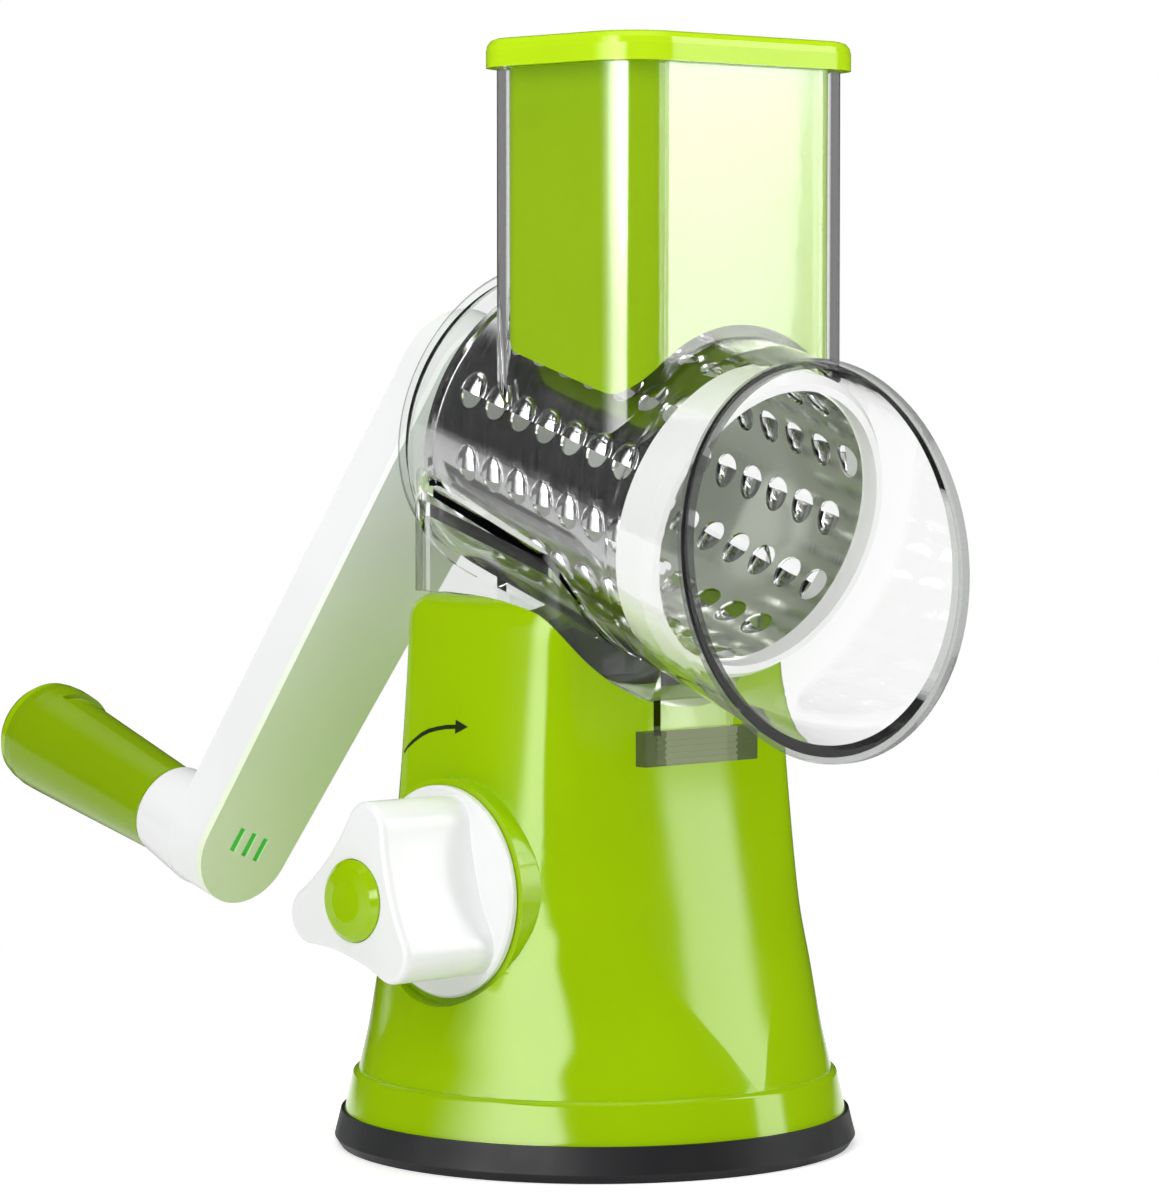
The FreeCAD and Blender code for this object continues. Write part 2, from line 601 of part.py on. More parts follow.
def release_tab():
    s = box(-TAB_HX, TAB_HX, TAB_Y0, TAB_Y1, TAB_Z0, TAB_Z1)
    s = s.cut(box(-NECK_HX, NECK_HX, NECK_Y0, TAB_Y1 + 1, NECK_Z, TAB_Z1 + 1))
    for i in range(4):
        z = TAB_Z0 + 1.6 + 1.5 * i
        s = s.cut(box(-TAB_HX + 4, TAB_HX - 4, TAB_Y0 - 1, TAB_Y0 + 0.5, z, z + 0.7))
    return s


def rear_bush():
    r = AXLE_R + AXLE_RUN
    s0 = BARREL_REAR_S - REAR_WALL
    s = turned([(r, s0), (AXLE_BUSH_R, s0), (AXLE_BUSH_R, BARREL_REAR_S), (AXLE_FLANGE_R, BARREL_REAR_S),
                (AXLE_FLANGE_R, BUSH_S1), (r, BUSH_S1)], "y")
    return to_axis(s)


# ---- crank ----
def arm_outline(r0, r1, s0, s1):
    """Tapered arm with round ends, hanging from the drum axis, before it is swung aside."""
    q = math.asin((r0 - r1) / ARM_L)
    c = math.cos(q)
    d = math.sin(q)
    a = V(r0 * c, s0, -r0 * d)
    b = V(r1 * c, s0, -ARM_L - r1 * d)
    e = V(-r1 * c, s0, -ARM_L - r1 * d)
    f = V(-r0 * c, s0, -r0 * d)
    w = Part.Wire([Part.makeLine(a, b), Part.Arc(b, V(0, s0, -ARM_L - r1), e).toShape(), Part.makeLine(e, f),
                   Part.Arc(f, V(0, s0, r0), a).toShape()])
    return Part.Face(w).extrude(V(0, s1 - s0, 0))


def swing(shape):
    shape.rotate(V(0, 0, 0), V(0, 1, 0), ARM_ANGLE)
    return to_axis(shape)


def crank_arm():
    s = arm_outline(ARM_HUB_R, ARM_END_R, ARM_SPLIT, ARM_S1)
    s = s.cut(arm_outline(ARM_HUB_R - ARM_WALL, ARM_END_R - ARM_WALL, ARM_SPLIT - 1, ARM_S1 - 2.4))
    s = s.fuse(cyl(COLLAR_R + 1.0, (0, TANG_S0, 0), (0, 1, 0), ARM_S1 - TANG_S0))
    s = s.fuse(cyl(8.0, (0, ARM_SPLIT + 2, -GRIP_L), (0, 1, 0), ARM_S1 - ARM_SPLIT - 2))
    for i in range(4):
        z = -ARM_L * (0.27 + 0.175 * i)
        rib = box(-ARM_HUB_R, ARM_HUB_R, ARM_SPLIT + 2.2, ARM_S1, z - 0.8, z + 0.8)
        s = s.fuse(rib.common(arm_outline(ARM_HUB_R - 1.0, ARM_END_R - 1.0, ARM_SPLIT + 2.2, ARM_S1)))
    s = s.fuse(box(-0.8, 0.8, ARM_SPLIT + 2.2, ARM_S1, -ARM_L, -12.0))
    cone = Part.makeCone(SOCKET_R0, SOCKET_R1, SOCKET_S1 - ARM_S1, V(0, ARM_S1, -GRIP_L), V(0, 1, 0))
    s = s.fuse(cone)
    s = s.cut(cyl(SPINDLE_R, (0, ARM_SPLIT + 4, -GRIP_L), (0, 1, 0), 60))
    h = TANG / 2.0
    s = s.cut(box(-h, h, 35, ARM_S1 - 4.3, -h, h))
    s = s.cut(cyl(2.6, (0, 35, 0), (0, 1, 0), 40))
    s = s.cut(cyl(5.0, (0, ARM_S1 - 2.8, 0), (0, 1, 0), 10))
    return swing(s)


def crank_cover():
    s = arm_outline(ARM_HUB_R, ARM_END_R, ARM_S0, ARM_SPLIT)
    lip = arm_outline(ARM_HUB_R - ARM_WALL - 0.1, ARM_END_R - ARM_WALL - 0.1, ARM_SPLIT, ARM_SPLIT + 2)
    lip = lip.cut(arm_outline(ARM_HUB_R - ARM_WALL - 1.6, ARM_END_R - ARM_WALL - 1.6, ARM_SPLIT, ARM_SPLIT + 2))
    s = s.fuse(lip)
    s = s.cut(cyl(COLLAR_R + 1.0, (0, ARM_S0 - 1, 0), (0, 1, 0), 8))
    for k in (-1, 0, 1):
        slot = box(-1.0, 1.0, ARM_S0 - 1, ARM_S0 + 1.2, -3.2, 3.2)
        slot.rotate(V(0, 0, 0), V(0, 1, 0), 0)
        slot.translate(V(4.4 * k, 0, -ARM_L + 1.5))
        s = s.cut(slot)
    return swing(s)


def slit_inlay():
    out = []
    for k in (-1, 0, 1):
        out.append(box(4.4 * k - 1.0, 4.4 * k + 1.0, ARM_S0 + 0.5, ARM_S0 + 1.2, -ARM_L + 1.5 - 3.2, -ARM_L + 1.5 + 3.2))
    return swing(Part.makeCompound(out))


def crank_shaft():
    s = hexagon(HEX_AF, HEX_S0, HEX_S1)
    s = s.fuse(cyl(AXLE_R, (0, HEX_S1, 0), (0, 1, 0), TANG_S0 - HEX_S1))
    s = s.fuse(cyl(COLLAR_R, (0, BUSH_S1 + 0.3, 0), (0, 1, 0), TANG_S0 - BUSH_S1 - 0.3))
    h = TANG / 2.0
    s = s.fuse(box(-h, h, TANG_S0, ARM_S1 - 4.3, -h, h))
    return swing(s.cut(cyl(2.5, (0, TANG_S0 + 2, 0), (0, 1, 0), 20)))


def shaft_screw():
    s = cyl(4.8, (0, ARM_S1 - 2.8, 0), (0, 1, 0), 2.4)
    s = s.fuse(cyl(2.5, (0, TANG_S0 + 4, 0), (0, 1, 0), ARM_S1 - TANG_S0 - 6.0))
    return swing(s.cut(hexagon(4.0, ARM_S1 - 2.0, ARM_S1)))


def grip_spindle():
    head = GRIP_BODY_S1 - 1.4
    s = cyl(SPINDLE_R, (0, ARM_SPLIT + 4, -GRIP_L), (0, 1, 0), head - ARM_SPLIT - 3.6)
    return swing(s.fuse(cyl(SPINDLE_HEAD_R, (0, head, -GRIP_L), (0, 1, 0), SPINDLE_HEAD_T)))


def grip():
    b = SPINDLE_R + SPINDLE_RUN
    e = GRIP_BODY_S1
    c = SPINDLE_HEAD_R + 1.4
    s = turned([(b, GRIP_S0), (GRIP_R0 - 0.5, GRIP_S0), (GRIP_R0, GRIP_S0 + 0.5), (GRIP_R1 - 0.1, e - 7.0),
                (GRIP_R1, e - 3.0), (GRIP_R1 - 0.3, e), (c, e), (c, e - 1.7), (b, e - 1.7)], "y")
    slope = (GRIP_R1 - GRIP_R0) / (e - GRIP_S0)
    r0 = GRIP_R0 - RECESS_DEPTH
    r1 = r0 + slope * (RECESS_S1 - GRIP_S0)
    far = 2 * GRIP_R1
    face = Part.Face(Part.makePolygon([V(r0, GRIP_S0 - 1, 0), V(far, GRIP_S0 - 1, 0), V(far, RECESS_S1, 0),
                                       V(r1, RECESS_S1, 0), V(r0, GRIP_S0 - 1, 0)]))
    recess = face.revolve(V(0, 0, 0), V(0, 1, 0), 2 * RECESS_HALF)
    recess.rotate(V(0, 0, 0), V(0, 1, 0), -90 - RECESS_HALF)
    s = s.cut(recess)
    s.translate(V(0, 0, -GRIP_L))
    return swing(s)


def grip_cap():
    e = GRIP_BODY_S1
    pts = [(0, e + 2.0), (SPINDLE_HEAD_R + 0.4, e + 2.0), (SPINDLE_HEAD_R + 1.2, e), (GRIP_R1 - 0.3, e)]
    n = 6
    for i in range(1, n):
        a = math.radians(90.0 * i / n)
        pts.append(((GRIP_R1 - 0.3) * math.cos(a), e + GRIP_DOME * math.sin(a)))
    pts.append((0, GRIP_S1))
    s = turned(pts, "y")
    s.translate(V(0, 0, -GRIP_L))
    return swing(s)


# ---- drum ----
def hole_prism(r, y, z0, z1):
    n = 12
    turn = [2 * math.pi * k / n for k in range(n + 1)]
    pts = [V(r * math.cos(a), y + r * math.sin(a), z0) for a in turn]
    return Part.Face(Part.makePolygon(pts)).extrude(V(0, 0, z1 - z0))


def drum_sleeve():
    """Perforated sheet whose holes each have a lip that rises to one side, in the sense of rotation."""
    s = cyl(SLEEVE_R, (0, SLEEVE_S0, 0), (0, 1, 0), SLEEVE_S1 - SLEEVE_S0)
    bore = cyl(SLEEVE_R - SLEEVE_T, (0, SLEEVE_S0 - 1, 0), (0, 1, 0), SLEEVE_S1 - SLEEVE_S0 + 2)
    holes = []
    lips = []
    mid = 0.5 * (RING_S1 + SLEEVE_S1 - 3.0)
    rim = HOLE_R + LIP_T
    slope = math.degrees(math.atan2(LIP_H + 0.6, 2 * rim))
    for row in range(HOLE_ROWS):
        count = 7 if row % 2 == 0 else 6
        a = 360.0 * row / HOLE_ROWS
        for i in range(count):
            y = mid + (i - (count - 1) / 2.0) * HOLE_PITCH
            hole = hole_prism(HOLE_R, y, SLEEVE_R - 4, SLEEVE_R + 2 * LIP_H)
            lip = hole_prism(rim, y, SLEEVE_R - SLEEVE_T, SLEEVE_R + 2 * LIP_H)
            over = box(-4 * rim, 4 * rim, y - 2 * rim, y + 2 * rim, 0, 4 * rim)
            over.rotate(V(0, 0, 0), V(0, 1, 0), -slope)
            over.translate(V(rim, 0, SLEEVE_R + LIP_H))
            lip = lip.cut(over)
            for tool in (hole, lip):
                tool.rotate(V(0, 0, 0), V(0, 1, 0), a)
            holes.append(hole)
            lips.append(lip)
    return to_axis(s.fuse(lips).cut(bore).cut(Part.makeCompound(holes)))


def drum_front_ring():
    s = turned([(RING_BORE, RING_S0), (36.6, RING_S0), (RING_R, RING_S0 + 2.4), (RING_R, RING_S1), (SLEEVE_R, RING_S1),
                (SLEEVE_R, SLEEVE_S0), (RING_BORE, SLEEVE_S0)], "y")
    return to_axis(s)


def drum_rear_hub():
    r = SLEEVE_R - SLEEVE_T
    s = turned([(0, HUB_S0), (HUB_R, HUB_S0), (HUB_R, SLEEVE_S1 - 2.5), (r, SLEEVE_S1 - 2.5), (r, SLEEVE_S1),
                (HUB_R, SLEEVE_S1), (HUB_R, HUB_S1), (0, HUB_S1)], "y")
    s = s.cut(hexagon(HEX_SOCKET_AF, HUB_S0 - 1, HEX_S1 + 0.5))
    s = s.cut(cyl(AXLE_R + 0.3, (0, HEX_S1 - 0.5, 0), (0, 1, 0), 20))
    return swing(s)


def drum_rim():
    r = SLEEVE_R - 0.0
    s = turned([(r, SLEEVE_S1 - 1.6), (r + 0.9, SLEEVE_S1 - 1.0), (r + 0.9, SLEEVE_S1 + 0.5), (r - 2.0, SLEEVE_S1 + 0.9),
                (r - 2.0, SLEEVE_S1), (r, SLEEVE_S1)], "y")
    return to_axis(s)


# ---- pusher ----
def pusher_body():
    y0 = CHUTE_CY - PUSH_HY
    y1 = CHUTE_CY + PUSH_HY
    w = PUSH_WALL
    cutter = axis_cylinder(PUSH_SADDLE_R)
    s = prism(PUSH_HX, y0, y1, PUSH_CORNER, AXIS_H, CHUTE_TOP).cut(cutter)
    roof = axis_cylinder(PUSH_SADDLE_R + w)
    core = prism(PUSH_HX - w, y0 + w, y1 - w, PUSH_CORNER - w, AXIS_H, CHUTE_TOP + 1).cut(roof)
    return s.cut(core)


def pusher_lid():
    y0 = CHUTE_CY - LID_HY
    y1 = CHUTE_CY + LID_HY
    layers = []
    h = CHUTE_TOP + LID_H - LID_ROUND
    for k in range(4):
        a = math.radians(30.0 * k)
        e = 2.6 * (1 - math.cos(a))
        layers.append(rounded(LID_HX - e, y0 + e, y1 - e, LID_CORNER - e, h + LID_ROUND * math.sin(a)))
    s = prism(LID_HX, y0, y1, LID_CORNER, CHUTE_TOP, h).fuse(Part.makeLoft(layers, True, True))
    w = PUSH_WALL + 0.05
    plug = prism(PUSH_HX - w, CHUTE_CY - PUSH_HY + w, CHUTE_CY + PUSH_HY - w, PUSH_CORNER - w, CHUTE_TOP - 5, CHUTE_TOP)
    hollow = prism(PUSH_HX - w - 1.8, CHUTE_CY - PUSH_HY + w + 1.8, CHUTE_CY + PUSH_HY - w - 1.8, PUSH_CORNER - w - 1.8,
                   CHUTE_TOP - 6, CHUTE_TOP + 2.4)
    return s.fuse(plug).cut(hollow)


# ---- build ----
PIECES = [
    ("suction_pad", suction_pad), ("clamp_plate", clamp_plate), ("base_screws", base_screws),
    ("base_shell", base_shell), ("pocket_insert", pocket_insert), ("knob_bush", knob_bush),
    ("guide_cup", guide_cup), ("bearing_block", bearing_block),
    ("lift_spring", lift_spring),
    ("knob_shaft", knob_shaft), ("lift_cam", lift_cam), ("knob_grip", knob_grip), ("knob_disc", knob_disc),
    ("knob_screw", knob_screw), ("knob_cap", knob_cap), ("pad_lifter", pad_lifter),
    ("housing", housing), ("release_tab", release_tab), ("rear_bush", rear_bush),
    ("crank_arm", crank_arm), ("crank_cover", crank_cover), ("slit_inlay", slit_inlay),
    ("crank_shaft", crank_shaft), ("shaft_screw", shaft_screw), ("grip_spindle", grip_spindle),
    ("grip", grip), ("grip_cap", grip_cap),
    ("drum_sleeve", drum_sleeve), ("drum_front_ring", drum_front_ring), ("drum_rear_hub", drum_rear_hub),
    ("drum_rim", drum_rim),
    ("pusher_body", pusher_body), ("pusher_lid", pusher_lid),
]

for name, make in PIECES:
    save(name, make())
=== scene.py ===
"""Dresses the hand-cranked rotary shredder: its finishes, its fine shapes and the studio around it."""

import json
import logging
import math
from dataclasses import dataclass
from enum import Enum
from typing import Dict, List, Optional, Sequence, Tuple

import bpy
from mathutils import Matrix, Vector


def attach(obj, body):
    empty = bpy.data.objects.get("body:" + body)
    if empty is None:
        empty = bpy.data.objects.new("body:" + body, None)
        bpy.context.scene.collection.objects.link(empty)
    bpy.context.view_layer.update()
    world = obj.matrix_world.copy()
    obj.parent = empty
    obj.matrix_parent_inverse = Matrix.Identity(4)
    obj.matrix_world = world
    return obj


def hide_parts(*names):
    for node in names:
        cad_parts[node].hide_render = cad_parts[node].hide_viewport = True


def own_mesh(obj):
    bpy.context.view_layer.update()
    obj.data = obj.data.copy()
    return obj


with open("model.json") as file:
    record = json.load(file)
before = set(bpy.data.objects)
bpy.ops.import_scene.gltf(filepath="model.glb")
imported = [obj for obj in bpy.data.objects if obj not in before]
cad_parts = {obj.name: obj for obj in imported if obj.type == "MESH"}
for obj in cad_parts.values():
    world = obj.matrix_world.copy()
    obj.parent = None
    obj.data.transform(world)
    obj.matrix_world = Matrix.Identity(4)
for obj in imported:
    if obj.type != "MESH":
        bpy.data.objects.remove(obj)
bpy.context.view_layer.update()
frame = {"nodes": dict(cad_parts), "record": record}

LOG = logging.getLogger("shredder")
MM = 0.001
TILT = math.radians(17.0)
AXIS_H = 173.3
NOISE_SPAN = (0.3, 0.7)
WHITE = (1.0, 1.0, 1.0, 1.0)
Colour = Tuple[float, float, float]
Point = Tuple[float, float, float]


class Combine(Enum):
    """What is done with a second solid."""

    JOIN = "UNION"
    CUT = "DIFFERENCE"


def rgb(red: int, green: int, blue: int) -> Colour:
    """Turn an 8-bit display colour into a linear one.

    Args:
        red: the red channel, 0 to 255.
        green: the green channel, 0 to 255.
        blue: the blue channel, 0 to 255.

    Returns:
        The linear colour.
    """

    def one(value: int) -> float:
        """One channel of the colour."""
        c = value / 255.0
        return c / 12.92 if c <= 0.04045 else ((c + 0.055) / 1.055) ** 2.4

    return one(red), one(green), one(blue)


# ---------------------------------------------------------------- finishes


class NodeSheet:
    """A node tree of a material or a world, with short ways to add and join nodes."""

    def __init__(self, name: str, world: bool = False) -> None:
        """Start an empty material or world.

        Args:
            name: the material's or world's name.
            world: make a world instead of a material.
        """
        self.material = bpy.data.worlds.new(name) if world else bpy.data.materials.new(name)
        self.material.use_nodes = True
        self.tree = self.material.node_tree
        self.tree.nodes.clear()
        self.output = self.add("ShaderNodeOutputWorld" if world else "ShaderNodeOutputMaterial")

    def add(self, kind: str, **settings: object) -> bpy.types.Node:
        """Add a node.

        Args:
            kind: the node's Blender type.
            **settings: its attributes.

        Returns:
            The new node.
        """
        node = self.tree.nodes.new(kind)
        for key, value in settings.items():
            setattr(node, key, value)
        return node

    def join(self, source: bpy.types.NodeSocket, target: bpy.types.NodeSocket) -> None:
        """Link two sockets."""
        self.tree.links.new(source, target)

    def put(self, value: object, socket: bpy.types.NodeSocket) -> None:
        """Join a socket to another, or set a plain number or vector on it.

        Args:
            value: a socket, a number or a vector.
            socket: the socket that takes it.
        """
        if isinstance(value, bpy.types.NodeSocket):
            self.join(value, socket)
        else:
            socket.default_value = value

    def sums(self, operation: str, *values: object) -> bpy.types.NodeSocket:
        """Do one sum on numbers or sockets.

        Args:
            operation: the sum's Blender name.
            *values: numbers or sockets.

        Returns:
            The result's socket.
        """
        node = self.add("ShaderNodeMath", operation=operation)
        for value, socket in zip(values, node.inputs):
            self.put(value, socket)
        return node.outputs[0]

    def along(self, vector: bpy.types.NodeSocket, way: Point) -> bpy.types.NodeSocket:
        """Tell how far a vector goes one way.

        Args:
            vector: the vector.
            way: the way, of length one.

        Returns:
            The distance's socket.
        """
        node = self.add("ShaderNodeVectorMath", operation="DOT_PRODUCT")
        self.put(vector, node.inputs[0])
        self.put(way, node.inputs[1])
        return node.outputs["Value"]

    def step(self, value: object, start: object, end: object) -> bpy.types.NodeSocket:
        """Rise smoothly from 0 at start to 1 at end.

        Args:
            value: what is looked up.
            start: where the rise starts.
            end: where it ends.

        Returns:
            The result's socket.
        """
        node = self.add("ShaderNodeMapRange", interpolation_type="SMOOTHSTEP")
        self.put(value, node.inputs["Value"])
        self.put(start, node.inputs["From Min"])
        self.put(end, node.inputs["From Max"])
        return node.outputs["Result"]

    def product(self, *values: object) -> bpy.types.NodeSocket:
        """Multiply numbers or sockets, from left to right.

        Args:
            *values: two or more numbers or sockets.

        Returns:
            The product's socket.
        """
        result = values[0]
        for value in values[1:]:
            result = self.sums("MULTIPLY", result, value)
        return result

    def painted(
        self, tone: bpy.types.NodeSocket, share: bpy.types.NodeSocket, colour: Colour
    ) -> bpy.types.NodeSocket:
        """Lay a plain colour over a tone.

        Args:
            tone: the colour underneath.
            share: how much of the plain colour.
            colour: the plain colour.

        Returns:
            The blend's socket.
        """
        blend = self.add("ShaderNodeMix", data_type="RGBA")
        self.join(share, blend.inputs["Factor"])
        self.join(tone, blend.inputs[6])
        blend.inputs[7].default_value = (*colour, 1.0)
        return blend.outputs[2]

    def mixed(
        self, share: object, first: bpy.types.NodeSocket, second: bpy.types.NodeSocket
    ) -> bpy.types.NodeSocket:
        """Mix two shaders.

        Args:
            share: how much of the second one.
            first: the first shader.
            second: the second shader.

        Returns:
            The mix's socket.
        """
        node = self.add("ShaderNodeMixShader")
        self.put(share, node.inputs["Fac"])
        self.put(first, node.inputs[1])
        self.put(second, node.inputs[2])
        return node.outputs["Shader"]

    def round_axis(self) -> Tuple[bpy.types.NodeSocket, bpy.types.NodeSocket, bpy.types.NodeSocket]:
        """Measure a point of the piece from the drum's axis.

        Returns:
            Sockets of the height over the axis, the place along it and the distance from it, in metres.
        """
        lifted = self.add("ShaderNodeVectorMath", operation="SUBTRACT")
        self.join(self.place(), lifted.inputs[0])
        lifted.inputs[1].default_value = (0.0, 0.0, AXIS_H * MM)
        spot = lifted.outputs["Vector"]
        across = self.along(spot, (1.0, 0.0, 0.0))
        above = self.along(spot, (0.0, -math.sin(TILT), math.cos(TILT)))
        back = self.along(spot, (0.0, math.cos(TILT), math.sin(TILT)))
        square = self.sums("ADD", self.product(across, across), self.product(above, above))
        return above, back, self.sums("SQRT", square)

    def place(self) -> bpy.types.NodeSocket:
        """The point's place on the piece, in metres."""
        return self.add("ShaderNodeTexCoord").outputs["Object"]

    def noise(
        self, scale: float, detail: float = 3.0, stretch: Point = (1.0, 1.0, 1.0)
    ) -> bpy.types.NodeSocket:
        """Noise on Object coordinates.

        Args:
            scale: features per metre.
            detail: octaves.
            stretch: scale along each axis.

        Returns:
            The noise value's socket.
        """
        place = self.add("ShaderNodeTexCoord")
        turn = self.add("ShaderNodeMapping")
        turn.inputs["Scale"].default_value = stretch
        self.join(place.outputs["Object"], turn.inputs["Vector"])
        noise = self.add("ShaderNodeTexNoise")
        noise.inputs["Scale"].default_value = scale
        noise.inputs["Detail"].default_value = detail
        self.join(turn.outputs["Vector"], noise.inputs["Vector"])
        return noise.outputs["Fac"]

    def spread(self, source: bpy.types.NodeSocket, low: float, high: float) -> bpy.types.NodeSocket:
        """Map a noise value from its usual span to another.

        Args:
            source: the noise value.
            low: the result where the noise is low.
            high: the result where it is high.

        Returns:
            The result's socket.
        """
        node = self.add("ShaderNodeMapRange")
        node.inputs["From Min"].default_value, node.inputs["From Max"].default_value = NOISE_SPAN
        node.inputs["To Min"].default_value = low
        node.inputs["To Max"].default_value = high
        self.join(source, node.inputs["Value"])
        return node.outputs["Result"]

    def tones(self, source: bpy.types.NodeSocket, dark: Colour, light: Colour) -> bpy.types.NodeSocket:
        """Blend two colours by a value.

        Args:
            source: the value.
            dark: the colour where it is low.
            light: the colour where it is high.

        Returns:
            The colour's socket.
        """
        ramp = self.add("ShaderNodeValToRGB")
        for element, position, colour in zip(ramp.color_ramp.elements, NOISE_SPAN, (dark, light)):
            element.position = position
            element.color = (*colour, 1.0)
        self.join(source, ramp.inputs["Fac"])
        return ramp.outputs["Color"]

    def bump(self, source: bpy.types.NodeSocket, height: float, strength: float) -> bpy.types.NodeSocket:
        """Turn a value into a bump.

        Args:
            source: the value.
            height: the bump's height in metres.
            strength: how much of it shows.

        Returns:
            The normal's socket.
        """
        node = self.add("ShaderNodeBump")
        node.inputs["Strength"].default_value = strength
        node.inputs["Distance"].default_value = height
        self.join(source, node.inputs["Height"])
        return node.outputs["Normal"]


@dataclass(frozen=True)
class MouldedPlastic:
    """Injection-moulded plastic with a faint orange peel and fine handling marks.

    The depth is how far the colour wanders. Clouds, marks and grain are features per metre.
    Between the two heights of the fade, in metres, the colour turns to a lighter one that is painted light
    on the upper part.
    """

    name: str
    colour: Colour
    roughness: float = 0.16
    index: float = 1.36
    peel: float = 0.00004
    depth: float = 0.05
    painted_top_light: Optional[Colour] = None
    fade: Tuple[float, float] = (0.1, 0.2)
    clouds: float = 14.0
    marks: float = 90.0
    grain: float = 420.0

    def build(self) -> bpy.types.Material:
        """Make the material.

        Returns:
            The material.
        """
        sheet = NodeSheet(self.name)
        shader = sheet.add("ShaderNodeBsdfPrincipled")
        dark = tuple(c * (1.0 - self.depth) for c in self.colour)
        light = tuple(min(1.0, c * (1.0 + self.depth)) for c in self.colour)
        tone = sheet.tones(sheet.noise(self.clouds, 2.0), dark, light)
        # painted light: the colour turns lighter toward the top, by height alone
        if self.painted_top_light:
            height = sheet.along(sheet.place(), (0.0, 0.0, 1.0))
            tone = sheet.painted(tone, sheet.step(height, *self.fade), self.painted_top_light)
        sheet.join(tone, shader.inputs["Base Color"])
        rough = sheet.spread(sheet.noise(self.marks, 5.0), self.roughness * 0.8, self.roughness * 1.25)
        sheet.join(rough, shader.inputs["Roughness"])
        normal = sheet.bump(sheet.noise(self.grain, 2.0), self.peel, 0.25)
        sheet.join(normal, shader.inputs["Normal"])
        shader.inputs["IOR"].default_value = self.index
        sheet.join(shader.outputs["BSDF"], sheet.output.inputs["Surface"])
        return sheet.material


@dataclass(frozen=True)
class ThinPlaces:
    """Where the clear housing is shaded as a thin wall, in metres.

    Above, back and away are measured from the drum's axis, and the rear's top from the table.
    """

    foot_away: float = 0.0423
    foot_above: float = -0.015
    foot_back: float = -0.050
    rear_away: float = 0.0362
    rear_back: float = 0.0255
    rear_top: float = 0.24
    corner_away: float = 0.038
    corner_back: float = 0.0289
    mouth_lean: float = math.radians(23.3)
    mouth_back: float = -0.0845
    mouth_above: float = -0.0012
    bead_depth: float = 0.0013

    def bead(self, sheet: NodeSheet) -> bpy.types.NodeSocket:
        """Find the rolled edge of the mouth and the corner of the rear wall.

        Args:
            sheet: the node tree to add to.

        Returns:
            A socket that is 1 there.
        """
        above, back, away = sheet.round_axis()
        along = sheet.product(sheet.sums("SUBTRACT", back, self.mouth_back), math.cos(self.mouth_lean))
        rise = sheet.product(sheet.sums("SUBTRACT", above, self.mouth_above), math.sin(self.mouth_lean))
        mouth = sheet.sums("LESS_THAN", sheet.sums("SUBTRACT", along, rise), self.bead_depth)
        behind = sheet.sums("GREATER_THAN", back, self.corner_back)
        corner = sheet.product(behind, sheet.sums("GREATER_THAN", away, self.corner_away))
        return sheet.sums("MAXIMUM", mouth, corner)

    def walls(self, sheet: NodeSheet) -> bpy.types.NodeSocket:
        """Find the foot's walls, the rear end and the bead, but neither the barrel nor the chute.

        Args:
            sheet: the node tree to add to.

        Returns:
            A socket that is 1 there.
        """
        above, back, away = sheet.round_axis()
        foot = sheet.product(
            sheet.sums("GREATER_THAN", away, self.foot_away),
            sheet.sums("LESS_THAN", above, self.foot_above),
            sheet.sums("GREATER_THAN", back, self.foot_back),
        )
        height = sheet.along(sheet.place(), (0.0, 0.0, 1.0))
        rear = sheet.product(
            sheet.sums("GREATER_THAN", away, self.rear_away),
            sheet.sums("GREATER_THAN", back, self.rear_back),
            sheet.sums("LESS_THAN", height, self.rear_top),
        )
        return sheet.sums("MAXIMUM", sheet.sums("MAXIMUM", foot, self.bead(sheet)), rear)


